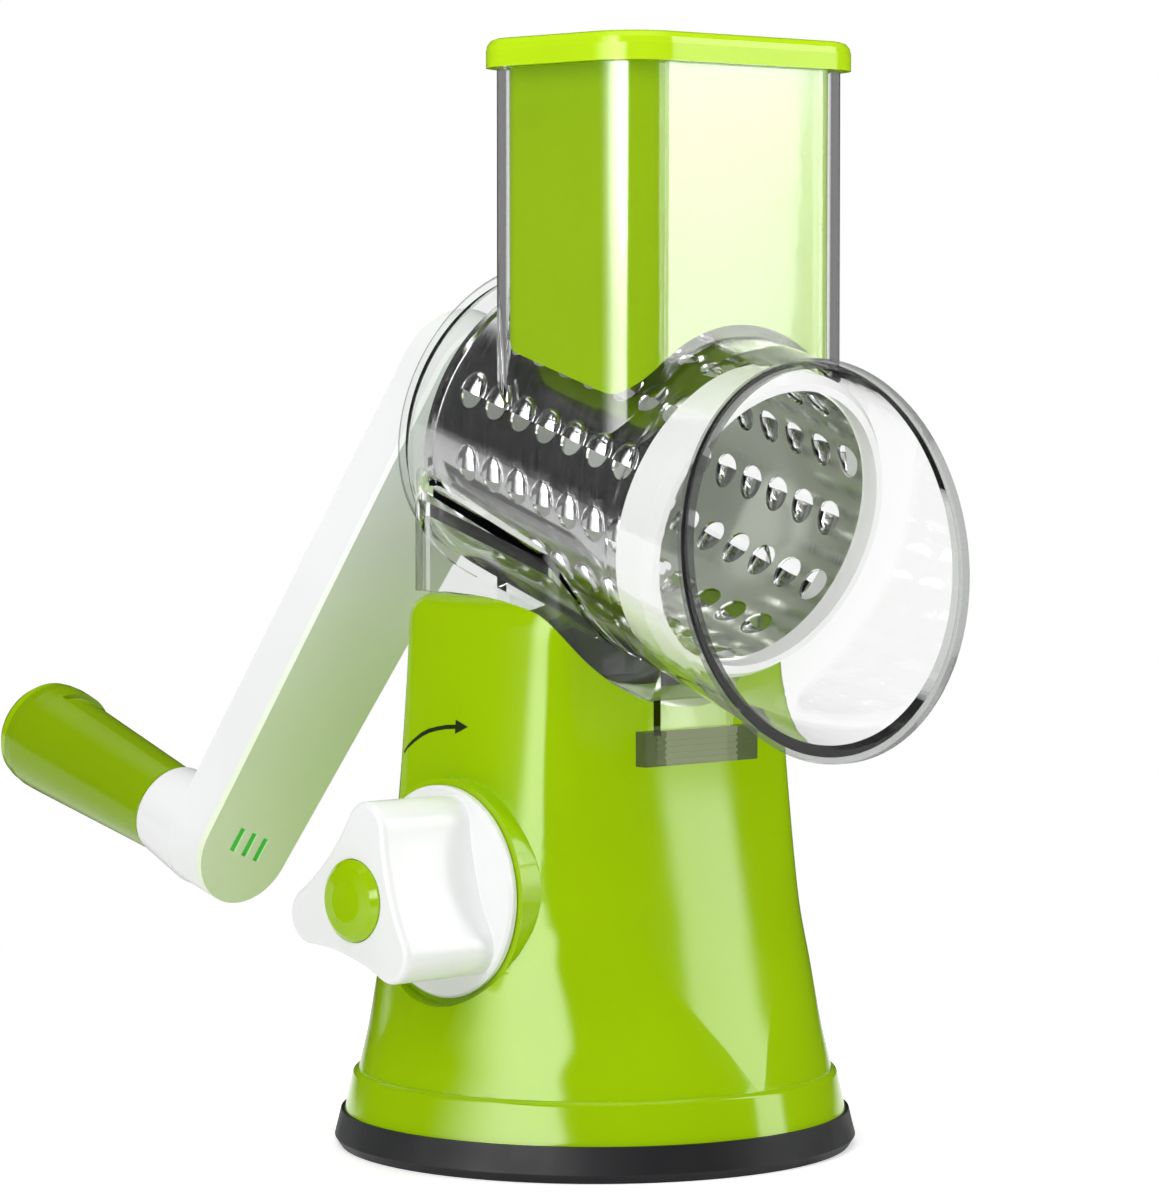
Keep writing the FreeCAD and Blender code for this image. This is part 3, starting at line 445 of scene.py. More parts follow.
@dataclass(frozen=True)
class ClearPlastic:
    """Polished clear plastic: it bends what is seen through it and lets light straight in.

    The milky share and the two hazes belong to thin walls. The second haze is painted shade that
    darkens the ends from the strip's distance from the middle on, and the bead and the rear corner
    of thin places are seen through a darker colour, painted shade for their dark lines. Where no
    thin places are given, the whole piece is a thin wall.
    Smears and ripples are features per metre.
    """

    name: str
    tint: Colour = (0.985, 0.99, 0.987)
    roughness: float = 0.02
    index: float = 1.46
    milky: float = 0.03
    haze: Colour = (0.62, 0.63, 0.62)
    # painted shade: the colour of the ends beyond the strip
    painted_end_shade: Colour = (0.62, 0.63, 0.62)
    strip: Tuple[float, float] = (0.0118, 0.0124)
    face_on: Colour = (0.985, 0.99, 0.985)
    edge_on: Colour = (0.4, 0.41, 0.4)
    edge_start: float = 0.35
    edge_blend: float = 0.22
    # painted shade: the darker see-through colour of the bead and the rear corner
    painted_edge_shade: Colour = (0.66, 0.67, 0.66)
    shadow: Colour = (0.98, 0.985, 0.98)
    gloss: Tuple[float, float] = (0.04, 0.09)
    gloss_share: float = 0.5
    smears: float = 60.0
    ripples: float = 120.0
    ripple: float = 0.00002
    places: Optional[ThinPlaces] = ThinPlaces()

    def thin_wall(self, sheet: NodeSheet) -> bpy.types.NodeSocket:
        """Shade a thin wall: clear face on, darker and shiny where it is seen edge on.

        Args:
            sheet: the node tree to add to.

        Returns:
            The shader's socket.
        """
        edge = sheet.add("ShaderNodeLayerWeight")
        edge.inputs["Blend"].default_value = self.edge_blend
        ramp = sheet.add("ShaderNodeValToRGB")
        ends = ramp.color_ramp.elements
        ends[0].position = self.edge_start
        ends[0].color = (*self.face_on, 1.0)
        ends[1].color = (*self.edge_on, 1.0)
        sheet.join(edge.outputs["Facing"], ramp.inputs["Fac"])
        clear = sheet.add("ShaderNodeBsdfTransparent")
        sheet.join(ramp.outputs["Color"], clear.inputs["Color"])
        wall = clear.outputs[0]
        # painted shade: the bead and the rear corner are seen through a darker colour
        if self.places:
            painted_edge_shade = sheet.add("ShaderNodeBsdfTransparent")
            painted_edge_shade.inputs["Color"].default_value = (*self.painted_edge_shade, 1.0)
            wall = sheet.mixed(self.places.bead(sheet), wall, painted_edge_shade.outputs[0])
        haze = sheet.add("ShaderNodeBsdfDiffuse")
        # painted shade: beyond the strip the second haze darkens the ends
        across = sheet.sums("ABSOLUTE", sheet.along(sheet.place(), (1.0, 0.0, 0.0)))
        haze_and_painted_shade = sheet.tones(sheet.step(across, *self.strip), self.haze, self.painted_end_shade)
        sheet.join(haze_and_painted_shade, haze.inputs["Color"])
        gloss = sheet.add("ShaderNodeBsdfGlossy")
        sheet.join(sheet.spread(sheet.noise(self.smears, 4.0), *self.gloss), gloss.inputs["Roughness"])
        inner = sheet.mixed(self.milky, wall, haze.outputs[0])
        shine = sheet.product(edge.outputs["Fresnel"], self.gloss_share)
        return sheet.mixed(shine, inner, gloss.outputs[0])

    def build(self) -> bpy.types.Material:
        """Make the material.

        Returns:
            The material.
        """
        sheet = NodeSheet(self.name)
        glass = sheet.add("ShaderNodeBsdfPrincipled")
        glass.inputs["Base Color"].default_value = (*self.tint, 1.0)
        glass.inputs["IOR"].default_value = self.index
        glass.inputs["Transmission Weight"].default_value = 1.0
        rough = sheet.spread(sheet.noise(self.smears, 4.0), self.roughness * 0.5, self.roughness * 1.5)
        sheet.join(rough, glass.inputs["Roughness"])
        normal = sheet.bump(sheet.noise(self.ripples, 2.0), self.ripple, 0.15)
        sheet.join(normal, glass.inputs["Normal"])
        through = sheet.add("ShaderNodeBsdfTransparent")
        through.inputs["Color"].default_value = (*self.shadow, 1.0)
        path = sheet.add("ShaderNodeLightPath")
        soft = sheet.sums("MAXIMUM", path.outputs["Is Shadow Ray"], path.outputs["Is Diffuse Ray"])
        share = self.places.walls(sheet) if self.places else 1.0
        body = sheet.mixed(share, glass.outputs["BSDF"], self.thin_wall(sheet))
        sheet.join(sheet.mixed(soft, body, through.outputs["BSDF"]), sheet.output.inputs["Surface"])
        return sheet.material


@dataclass(frozen=True)
class Steel:
    """Polished sheet steel with fine drawn streaks, and a painted reflection: a lighter, greener colour
    inside the bore's radius.

    Drawn and grain are features per metre, and the dent is the grain's depth in metres.
    """

    name: str
    colour: Colour = (0.56, 0.56, 0.55)
    roughness: float = 0.12
    streak: Point = (1.0, 30.0, 1.0)
    # painted reflection: the lighter colour of the inner face
    painted_inner_reflection: Optional[Colour] = None
    painted_inner_radius: float = 0.0349
    drawn: float = 120.0
    grain: float = 260.0
    dent: float = 0.00003

    def build(self) -> bpy.types.Material:
        """Make the material.

        Returns:
            The material.
        """
        sheet = NodeSheet(self.name)
        shader = sheet.add("ShaderNodeBsdfPrincipled")
        shader.inputs["Metallic"].default_value = 1.0
        streaks = sheet.noise(self.drawn, 4.0, self.streak)
        dark = tuple(c * 0.86 for c in self.colour)
        tone = sheet.tones(streaks, dark, self.colour)
        # painted reflection: inside the radius the steel is made lighter and greener
        if self.painted_inner_reflection:
            inside = sheet.sums("LESS_THAN", sheet.round_axis()[2], self.painted_inner_radius)
            tone = sheet.painted(tone, inside, self.painted_inner_reflection)
        sheet.join(tone, shader.inputs["Base Color"])
        rough = sheet.spread(streaks, self.roughness * 0.7, self.roughness * 1.5)
        sheet.join(rough, shader.inputs["Roughness"])
        normal = sheet.bump(sheet.noise(self.grain, 2.0), self.dent, 0.2)
        sheet.join(normal, shader.inputs["Normal"])
        sheet.join(shader.outputs["BSDF"], sheet.output.inputs["Surface"])
        return sheet.material


@dataclass(frozen=True)
class Rubber:
    """Matte grey rubber with a fine grain and a dusty bloom.

    Bloom, wear and grain are features per metre, and the dent is the grain's depth in metres.
    """

    name: str
    colour: Colour = rgb(30, 30, 32)
    roughness: Tuple[float, float] = (0.42, 0.62)
    index: float = 1.3
    bloom: float = 25.0
    wear: float = 70.0
    grain: float = 900.0
    dent: float = 0.00008

    def build(self) -> bpy.types.Material:
        """Make the material.

        Returns:
            The material.
        """
        sheet = NodeSheet(self.name)
        shader = sheet.add("ShaderNodeBsdfPrincipled")
        dark = tuple(c * 0.75 for c in self.colour)
        light = tuple(c * 1.3 for c in self.colour)
        sheet.join(sheet.tones(sheet.noise(self.bloom, 5.0), dark, light), shader.inputs["Base Color"])
        rough = sheet.spread(sheet.noise(self.wear, 4.0), *self.roughness)
        sheet.join(rough, shader.inputs["Roughness"])
        shader.inputs["IOR"].default_value = self.index
        normal = sheet.bump(sheet.noise(self.grain, 3.0), self.dent, 0.4)
        sheet.join(normal, shader.inputs["Normal"])
        sheet.join(shader.outputs["BSDF"], sheet.output.inputs["Surface"])
        return sheet.material


class Palette:
    """Every finish on the shredder, built once."""

    def __init__(self) -> None:
        """Build the finishes."""
        self.green = MouldedPlastic("green_shell", rgb(158, 198, 4), 0.10).build()
        self.lid = MouldedPlastic("green_lid", rgb(196, 238, 26), 0.12).build()
        # the cover's whiter top is painted light, set by height
        self.pale = MouldedPlastic(
            "pale_green_face", rgb(240, 252, 222), 0.35, painted_top_light=rgb(250, 254, 250), fade=(0.08, 0.17)
        ).build()
        self.grip = MouldedPlastic("green_grip", rgb(134, 168, 6), 0.14).build()
        self.bright = MouldedPlastic("bright_green_slits", rgb(96, 226, 96)).build()
        self.white = MouldedPlastic("white_moulding", rgb(243, 244, 244), 0.2).build()
        self.ring = MouldedPlastic("white_ring", rgb(254, 254, 254), 0.2).build()
        self.clear = ClearPlastic("clear_housing").build()
        # the tab's darker ends are painted shade
        self.tab = ClearPlastic(
            "clear_tab", milky=0.62, haze=rgb(136, 140, 120), painted_end_shade=rgb(58, 60, 50), places=None
        ).build()
        # the drum's lighter inner face is a painted reflection
        self.drum = Steel("drum_sheet", (0.5, 0.5, 0.5), painted_inner_reflection=(0.93, 0.96, 0.88)).build()
        self.steel = Steel("plain_steel", (0.55, 0.55, 0.55), 0.25, (1.0, 1.0, 8.0)).build()
        self.rubber = Rubber("pad_rubber").build()
        self.ink = MouldedPlastic("printed_ink", rgb(26, 40, 12), 0.3, 1.3).build()

    def by_slot(self) -> Dict[str, bpy.types.Material]:
        """Tell which finish each named slot gets.

        Returns:
            Each slot's name with its finish.
        """
        return {
            "green_plastic": self.green,
            "lid_green_plastic": self.lid,
            "pale_green_plastic": self.pale,
            "bright_green_plastic": self.bright,
            "white_plastic": self.white,
            "clear_plastic": self.clear,
            "rubber_grey": self.rubber,
            "steel": self.steel,
            "polished_steel": self.drum,
        }


def dress(piece: bpy.types.Object, finish: bpy.types.Material) -> None:
    """Give a piece one finish."""
    piece.data.materials.clear()
    piece.data.materials.append(finish)


# ---------------------------------------------------------------- bench


AXIS = Matrix.Translation((0.0, 0.0, AXIS_H * MM)) @ Matrix.Rotation(TILT, 4, "X")
LAY = Matrix.Rotation(-math.pi / 2.0, 4, "X")
MERGE = 1e-6
SMALLEST_CORNER = 0.6


def deselect() -> None:
    """Leave nothing selected."""
    bpy.ops.object.select_all(action="DESELECT")


def pick(piece: bpy.types.Object) -> None:
    """Make a piece the only selected one and the active one.

    Args:
        piece: the piece.
    """
    deselect()
    piece.select_set(True)
    bpy.context.view_layer.objects.active = piece


def edit(piece: bpy.types.Object) -> None:
    """Open a piece for editing with everything in it selected.

    Args:
        piece: the piece.
    """
    pick(piece)
    bpy.ops.object.mode_set(mode="EDIT")
    bpy.ops.mesh.select_mode(type="VERT")
    bpy.ops.mesh.select_all(action="SELECT")


def close() -> None:
    """Leave edit mode."""
    bpy.ops.object.mode_set(mode="OBJECT")


def outward(piece: bpy.types.Object, merge: bool = False) -> bpy.types.Object:
    """Turn a piece's faces outward.

    Args:
        piece: the piece.
        merge: first merge the points that lie together.

    Returns:
        The piece.
    """
    edit(piece)
    if merge:
        bpy.ops.mesh.remove_doubles(threshold=MERGE)
    bpy.ops.mesh.normals_make_consistent(inside=False)
    close()
    return piece


def joined(pieces: Sequence[bpy.types.Object], name: str) -> bpy.types.Object:
    """Make one piece of several.

    Args:
        pieces: the pieces.
        name: the new piece's name.

    Returns:
        The new piece.
    """
    deselect()
    for piece in pieces:
        piece.select_set(True)
    bpy.context.view_layer.objects.active = pieces[0]
    bpy.ops.object.join()
    whole = bpy.context.object
    whole.name = name
    return whole


def from_faces(
    name: str, points: Sequence[Point], faces: Sequence[Tuple[int, ...]]
) -> bpy.types.Object:
    """Make a piece of points and faces.

    Args:
        name: the piece's name.
        points: its points, in metres.
        faces: the numbers of each face's points.

    Returns:
        The new piece.
    """
    mesh = bpy.data.meshes.new(name)
    mesh.from_pydata(points, [], faces)
    piece = bpy.data.objects.new(name, mesh)
    bpy.context.scene.collection.objects.link(piece)
    return piece


def settle(piece: bpy.types.Object, place: Matrix = Matrix.Identity(4)) -> bpy.types.Object:
    """Move a piece by a matrix and bake its place into its mesh.

    Args:
        piece: the piece.
        place: where it goes.

    Returns:
        The piece.
    """
    pick(piece)
    piece.matrix_world = place @ piece.matrix_world
    bpy.ops.object.transform_apply(location=True, rotation=True, scale=True)
    return piece


def turned(
    name: str, profile: Sequence[Tuple[float, float]], steps: int = 96, ring: bool = False
) -> bpy.types.Object:
    """Turn a profile round Z, ring by ring.

    Args:
        name: the piece's name.
        profile: radius and height of each ring, in millimetres.
        steps: points round each ring.
        ring: the profile comes back to its start and leaves a hole through the piece.

    Returns:
        The new piece, closed.
    """
    deselect()
    radius, height = profile[0]
    bpy.ops.mesh.primitive_circle_add(
        vertices=steps, radius=radius * MM, fill_type="NOTHING" if ring else "NGON",
        location=(0.0, 0.0, height * MM),
    )
    piece = bpy.context.object
    piece.name = name
    settle(piece)
    edit(piece)
    for (r0, h0), (r1, h1) in zip(profile, profile[1:]):
        bpy.ops.mesh.extrude_region_move(TRANSFORM_OT_translate={"value": (0.0, 0.0, (h1 - h0) * MM)})
        bpy.ops.transform.resize(value=(r1 / r0, r1 / r0, 1.0), center_override=(0.0, 0.0, h1 * MM))
    close()
    return outward(piece, ring)


@dataclass(frozen=True)
class Section:
    """One level of a lofted body: half width in X, reach in Y each way, corner radius and height."""

    half: float
    front: float
    rear: float
    corner: float
    height: float

    def shrunk(self, by: float) -> "Section":
        """The same section moved in by a wall."""
        corner = max(self.corner - by, SMALLEST_CORNER)
        return Section(self.half - by, self.front + by, self.rear - by, corner, self.height)

    def at(self, height: float) -> "Section":
        """The same section at another height."""
        return Section(self.half, self.front, self.rear, self.corner, height)


def eased(rows: Sequence[Section], steps: int) -> List[Section]:
    """Sections on a smooth curve through the given ones.

    Args:
        rows: the sections to pass through, from the lowest up.
        steps: new sections in each span.

    Returns:
        The list of sections.
    """
    values = [(r.half, r.front, r.rear, r.corner) for r in rows]
    heights = [r.height for r in rows]
    last = len(rows) - 1

    def slope(i: int, k: int) -> float:
        """Slope of value k at section i."""
        a, b = max(i - 1, 0), min(i + 1, last)
        return (values[b][k] - values[a][k]) / (heights[b] - heights[a])

    out: List[Section] = []
    for i in range(last):
        run = heights[i + 1] - heights[i]
        for j in range(steps):
            t = j / steps
            mix = []
            for k in range(4):
                p0, p1 = values[i][k], values[i + 1][k]
                m0, m1 = slope(i, k) * run, slope(i + 1, k) * run
                mix.append(
                    (2 * t ** 3 - 3 * t ** 2 + 1) * p0
                    + (t ** 3 - 2 * t ** 2 + t) * m0
                    + (3 * t ** 2 - 2 * t ** 3) * p1
                    + (t ** 3 - t ** 2) * m1
                )
            out.append(Section(*mix, heights[i] + run * t))
    return out + [rows[-1]]


def outline(part: Section, bulge: float, steps: int = 12) -> List[Point]:
    """Points round a section whose four sides swell a little between its corners.

    Args:
        part: the section.
        bulge: radius of the swelling sides, in millimetres.
        steps: segments in each corner and each half side.

    Returns:
        The points, in metres, all the way round.
    """
    points: List[Point] = []
    for turn in range(4):
        side = part.half
        end = part.rear if turn in (0, 1) else -part.front
        big = max(bulge, side + 1.0, end + 1.0)
        gap = big - part.corner
        ax, by = side - big, end - big
        mid_x, mid_y = 0.5 * ax, 0.5 * by
        span = math.hypot(ax, by)
        lift = math.sqrt(max(gap * gap - 0.25 * span * span, 0.0))
        cx, cy = mid_x + lift * -by / span, mid_y + lift * -ax / span
        first = math.atan2(cy, cx - ax)
        second = math.atan2(cy - by, cx)
        quarter = []
        for k in range(steps):
            a = first * k / steps
            quarter.append((ax + big * math.cos(a), big * math.sin(a)))
        for k in range(steps + 1):
            a = first + (second - first) * k / steps
            quarter.append((cx + part.corner * math.cos(a), cy + part.corner * math.sin(a)))
        for k in range(1, steps):
            a = second + (math.pi / 2.0 - second) * k / steps
            quarter.append((big * math.cos(a), by + big * math.sin(a)))
        flip_x = 1.0 if turn in (0, 3) else -1.0
        flip_y = 1.0 if turn in (0, 1) else -1.0
        if turn in (0, 2):
            quarter.append((0.0, end))
            row = quarter[:-1]
        else:
            row = ([(0.0, end)] + quarter[::-1])[:-1]
        points.extend((x * flip_x * MM, y * flip_y * MM, part.height * MM) for x, y in row)
    return points


def loft(name: str, sections: Sequence[Section], bulge: float, steps: int = 12) -> bpy.types.Object:
    """Join swelling rounded rectangles into one closed body.

    Args:
        name: the piece's name.
        sections: its levels, from the lowest up.
        bulge: radius of the swelling sides, in millimetres.
        steps: segments in each corner and each half side.

    Returns:
        The new piece.
    """
    loops = [outline(part, bulge, steps) for part in sections]
    count = len(loops[0])
    faces = [tuple(range(count))[::-1], tuple((len(loops) - 1) * count + i for i in range(count))]
    for k in range(len(loops) - 1):
        for i in range(count):
            j = (i + 1) % count
            faces.append((k * count + i, k * count + j, (k + 1) * count + j, (k + 1) * count + i))
    return outward(from_faces(name, [p for loop in loops for p in loop], faces), True)


def block(name: str, low: Point, high: Point) -> bpy.types.Object:
    """Make a box, for cutting or joining.

    Args:
        name: the piece's name.
        low: its lowest corner, in millimetres.
        high: its highest corner, in millimetres.

    Returns:
        The new piece.
    """
    deselect()
    middle = [0.5 * (a + b) * MM for a, b in zip(low, high)]
    bpy.ops.mesh.primitive_cube_add(size=1.0, location=middle)
    piece = bpy.context.object
    piece.name = name
    piece.scale = [(b - a) * MM for a, b in zip(low, high)]
    return settle(piece)


def rod(
    name: str, radius: float, start: float, end: float, place: Matrix, steps: int = 96
) -> bpy.types.Object:
    """Make a round bar along Z and place it, for cutting or joining.

    Args:
        name: the piece's name.
        radius: its radius, in millimetres.
        start: where it starts on Z, in millimetres.
        end: where it ends on Z, in millimetres.
        place: where it goes from there.
        steps: flats round it.

    Returns:
        The new piece.
    """
    deselect()
    bpy.ops.mesh.primitive_cylinder_add(
        vertices=steps, radius=radius * MM, depth=(end - start) * MM,
        location=(0.0, 0.0, 0.5 * (start + end) * MM),
    )
    piece = bpy.context.object
    piece.name = name
    return settle(piece, place)


def modify(piece: bpy.types.Object, kind: str, **settings: object) -> None:
    """Add a modifier to a piece and apply it.

    Args:
        piece: the piece.
        kind: the modifier's Blender type.
        **settings: its attributes.
    """
    pick(piece)
    tool = piece.modifiers.new(kind.lower(), kind)
    for key, value in settings.items():
        setattr(tool, key, value)
    bpy.ops.object.modifier_apply(modifier=tool.name)


def combine(piece: bpy.types.Object, other: bpy.types.Object, how: Combine) -> None:
    """Join another solid to a piece or cut it out; the other solid is used up."""
    modify(piece, "BOOLEAN", operation=how.value, object=other, solver="EXACT")
    bpy.data.objects.remove(other, do_unlink=True)


def soften(piece: bpy.types.Object, width: float, angle: float = 35.0, segments: int = 3) -> None:
    """Round a piece's hard edges and give it smooth shading.

    Args:
        piece: the piece.
        width: size of the rounding in millimetres; none for 0.
        angle: edges sharper than this are rounded.
        segments: faces across the rounding.
    """
    if width > 0.0:
        modify(
            piece, "BEVEL", width=width * MM, segments=segments, limit_method="ANGLE",
            angle_limit=math.radians(angle), harden_normals=False, miter_outer="MITER_ARC",
        )
    pick(piece)
    bpy.ops.object.shade_smooth_by_angle(angle=math.radians(angle))
    modify(piece, "WEIGHTED_NORMAL", keep_sharp=True)


def stand_in(
    piece: bpy.types.Object, body: str, slot: str, finish: bpy.types.Material, *nodes: str
) -> None:
    """Hand a finished piece over.

    Args:
        piece: the piece.
        body: the body that it rides on.
        slot: its material slot; not used.
        finish: its finish.
        *nodes: the CAD nodes that it stands for.
    """
    dress(piece, finish)
    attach(piece, body)
    if nodes:
        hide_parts(*nodes)
    LOG.info("built %s", piece.name)


# ---------------------------------------------------------------- pieces


@dataclass
class Column:
    """The green column with its flange, its saddle for the housing and the flat seat for the knob.

    Sizes are in millimetres. Each row is a level's half width, front, rear, corner and height.
    Edges sharper than the crease, in degrees, stay sharp, and each round cut has its own number
    of sides.
    """

    rows: Tuple[Tuple[float, float, float, float, float], ...] = (
        (59.0, -59.0, 59.0, 58.7, 18.4),
        (55.6, -53.6, 53.6, 50.0, 30.0),
        (52.6, -46.6, 46.6, 38.0, 45.0),
        (49.8, -41.2, 41.2, 29.0, 60.0),
        (45.8, -34.9, 34.9, 14.0, 88.0),
        (43.4, -33.1, 33.1, 11.0, 115.0),
        (42.3, -32.6, 32.6, 10.0, 130.5),
    )
    top_round: float = 7.0
    bulge: float = 160.0
    wall: float = 3.0
    hole: float = 8.05
    hole_ends: Tuple[float, float] = (30.0, 70.0)
    saddle: float = 50.4
    knob_height: float = 66.25
    seat_x: float = -49.2
    seat_radius: float = 27.4
    boss_depth: float = 12.0
    boss_proud: float = 0.4
    seat_room: float = 0.3
    seat_reach: float = 20.0
    seat_backing: float = 2.0
    hollow_foot: float = 4.0
    roof_drop: float = 2.0
    hollow_levels: int = 31
    pocket: Tuple[Point, Point] = ((-15.9, -17.9, 104.4), (15.9, 24.9, 150.0))
    reach: float = 120.0
    far_side: float = 80.0
    edge: float = 0.5
    crease: float = 32.0
    levels_between: int = 5
    top_levels: int = 6
    flange_sides: int = 160
    seat_sides: int = 128
    saddle_sides: int = 192
    inner_sides: int = 96
    hole_sides: int = 48
    flange: Tuple[Tuple[float, float], ...] = (
        (62.5, 8.7), (62.3, 9.4), (60.5, 17.7), (60.1, 18.4), (59.3, 18.9), (1.0, 18.9),
    )

    def sections(self) -> List[Section]:
        """Work out the column's levels, up to its rounded top.

        Returns:
            The levels, from the lowest up.
        """
        body = eased([Section(*row) for row in self.rows], self.levels_between)
        top = body[-1]
        caps = []
        for k in range(1, self.top_levels + 1):
            a = math.radians(90.0 * k / self.top_levels)
            inward = self.top_round * (1.0 - math.cos(a))
            caps.append(top.shrunk(inward).at(top.height + self.top_round * math.sin(a)))
        return body + caps

    def build(self, palette: "Palette") -> None:
        """Model the column and dress it.

        Args:
            palette: the finishes.
        """
        shell = loft("column_shell", self.sections(), self.bulge)
        combine(shell, turned("flange", self.flange, self.flange_sides), Combine.JOIN)
        side = Matrix.Rotation(-math.pi / 2.0, 4, "Y")
        side = Matrix.Translation((0.0, 0.0, self.knob_height * MM)) @ side
        across = AXIS @ LAY
        seat = -self.seat_x
        low, high = seat - self.boss_depth, seat + self.boss_proud
        boss = rod("boss", self.seat_radius, low, high, side, self.seat_sides)
        combine(shell, boss, Combine.JOIN)
        low, high = seat, seat + self.seat_reach
        room = rod("seat", self.seat_radius + self.seat_room, low, high, side, self.seat_sides)
        combine(shell, room, Combine.CUT)
        levels = self.sections()[:self.hollow_levels]
        inside = [part.shrunk(self.wall).at(part.height - self.roof_drop) for part in levels]
        hollow = loft("hollow", [inside[0].at(self.hollow_foot)] + inside, self.bulge)
        radius = self.saddle + self.wall
        skin = rod("saddle_skin", radius, -self.reach, self.reach, across, self.inner_sides)
        combine(hollow, skin, Combine.CUT)
        radius = self.seat_radius + self.seat_backing
        skin = rod("seat_skin", radius, seat - self.wall, self.far_side, side, self.inner_sides)
        combine(hollow, skin, Combine.CUT)
        combine(shell, hollow, Combine.CUT)
        saddle = rod("saddle", self.saddle, -self.reach, self.reach, across, self.saddle_sides)
        combine(shell, saddle, Combine.CUT)
        combine(shell, block("pocket", *self.pocket), Combine.CUT)
        hole = rod("shaft_hole", self.hole, *self.hole_ends, side, self.hole_sides)
        combine(shell, hole, Combine.CUT)
        soften(shell, self.edge, self.crease)
        stand_in(shell, "base", "green_plastic", palette.green, "base_shell")


@dataclass
class Spring:
    """The coil that the lifter's bar presses against the pocket, in millimetres.

    The kept share, how much of its length would be left when the pad is up, is not used.
    """

    radius: float = 6.6
    wire: float = 0.55
    low: float = 84.5
    top: float = 103.65
    turns: int = 5
    kept: float = 0.695
    wire_sides: int = 10
    steps: int = 28
    crease: float = 50.0

    def build(self, palette: "Palette") -> None:
        """Wind the coil and dress it.

        Args:
            palette: the finishes.
        """
        deselect()
        bpy.ops.mesh.primitive_circle_add(
            vertices=self.wire_sides, radius=self.wire * MM,
            location=(self.radius * MM, 0.0, self.low * MM),
            rotation=(math.pi / 2.0, 0.0, 0.0),
        )
        coil = bpy.context.object
        coil.name = "spring_coil"
        settle(coil)
        pitch = (self.top - self.low) / self.turns
        modify(
            coil, "SCREW", axis="Z", steps=self.steps, render_steps=self.steps,
            iterations=self.turns, screw_offset=pitch * MM,
        )
        edit(coil)
        bpy.ops.mesh.fill_holes(sides=0)
        close()
        soften(outward(coil), 0.0, self.crease)
        stand_in(coil, "base", "steel", palette.steel, "lift_spring")
        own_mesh(coil)


@dataclass
class TurnMark:
    """The curved arrow over the knob that shows which way it turns, in millimetres.

    The path runs from the tail to the head, each point by its Y and Z. The tail is a share
    of the full width, which the line has after as many points as the taper says.
    """

    path: Tuple[Tuple[float, float], ...] = (
        (23.2, 98.2), (21.4, 99.6), (19.0, 101.2), (15.5, 103.1),
        (12.6, 104.2), (9.5, 104.9), (6.0, 105.5), (2.4, 105.8),
    )
    half: float = 0.5
    tail: float = 0.45
    taper: float = 3.0
    head: float = 1.7
    tip: Tuple[float, float] = (-2.1, 106.0)
    film: float = 0.12
    start_x: float = -60.0

    def build(self, palette: "Palette") -> None:
        """Lay the mark on the column and dress it.

        Args:
            palette: the finishes.
        """
        flat: List[Tuple[float, float]] = []
        for k, (y, z) in enumerate(self.path):
            near, far = self.path[max(k - 1, 0)], self.path[min(k + 1, len(self.path) - 1)]
            run = math.hypot(far[0] - near[0], far[1] - near[1])
            ny, nz = -(far[1] - near[1]) / run, (far[0] - near[0]) / run
            width = self.half * (self.tail + (1.0 - self.tail) * min(k / self.taper, 1.0))
            flat += [(y + ny * width, z + nz * width), (y - ny * width, z - nz * width)]
        y, z = self.path[-1]
        base = len(flat)
        flat += [(y, z + self.head), (y, z - self.head), self.tip]
        faces = [(2 * k, 2 * k + 1, 2 * k + 3, 2 * k + 2) for k in range(len(self.path) - 1)]
        faces.append((base, base + 1, base + 2))
        mark = from_faces("turn_mark", [(self.start_x * MM, y * MM, z * MM) for y, z in flat], faces)
        edit(mark)
        bpy.ops.mesh.subdivide(number_cuts=3)
        close()
        modify(
            mark, "SHRINKWRAP", target=bpy.data.objects["column_shell"], wrap_method="PROJECT",
            use_project_x=True, use_negative_direction=False, use_positive_direction=True, offset=0.0,
        )
        modify(mark, "SOLIDIFY", thickness=2.0 * self.film * MM, offset=0.0)
        outward(mark)
        stand_in(mark, "base", "rubber_grey", palette.ink)


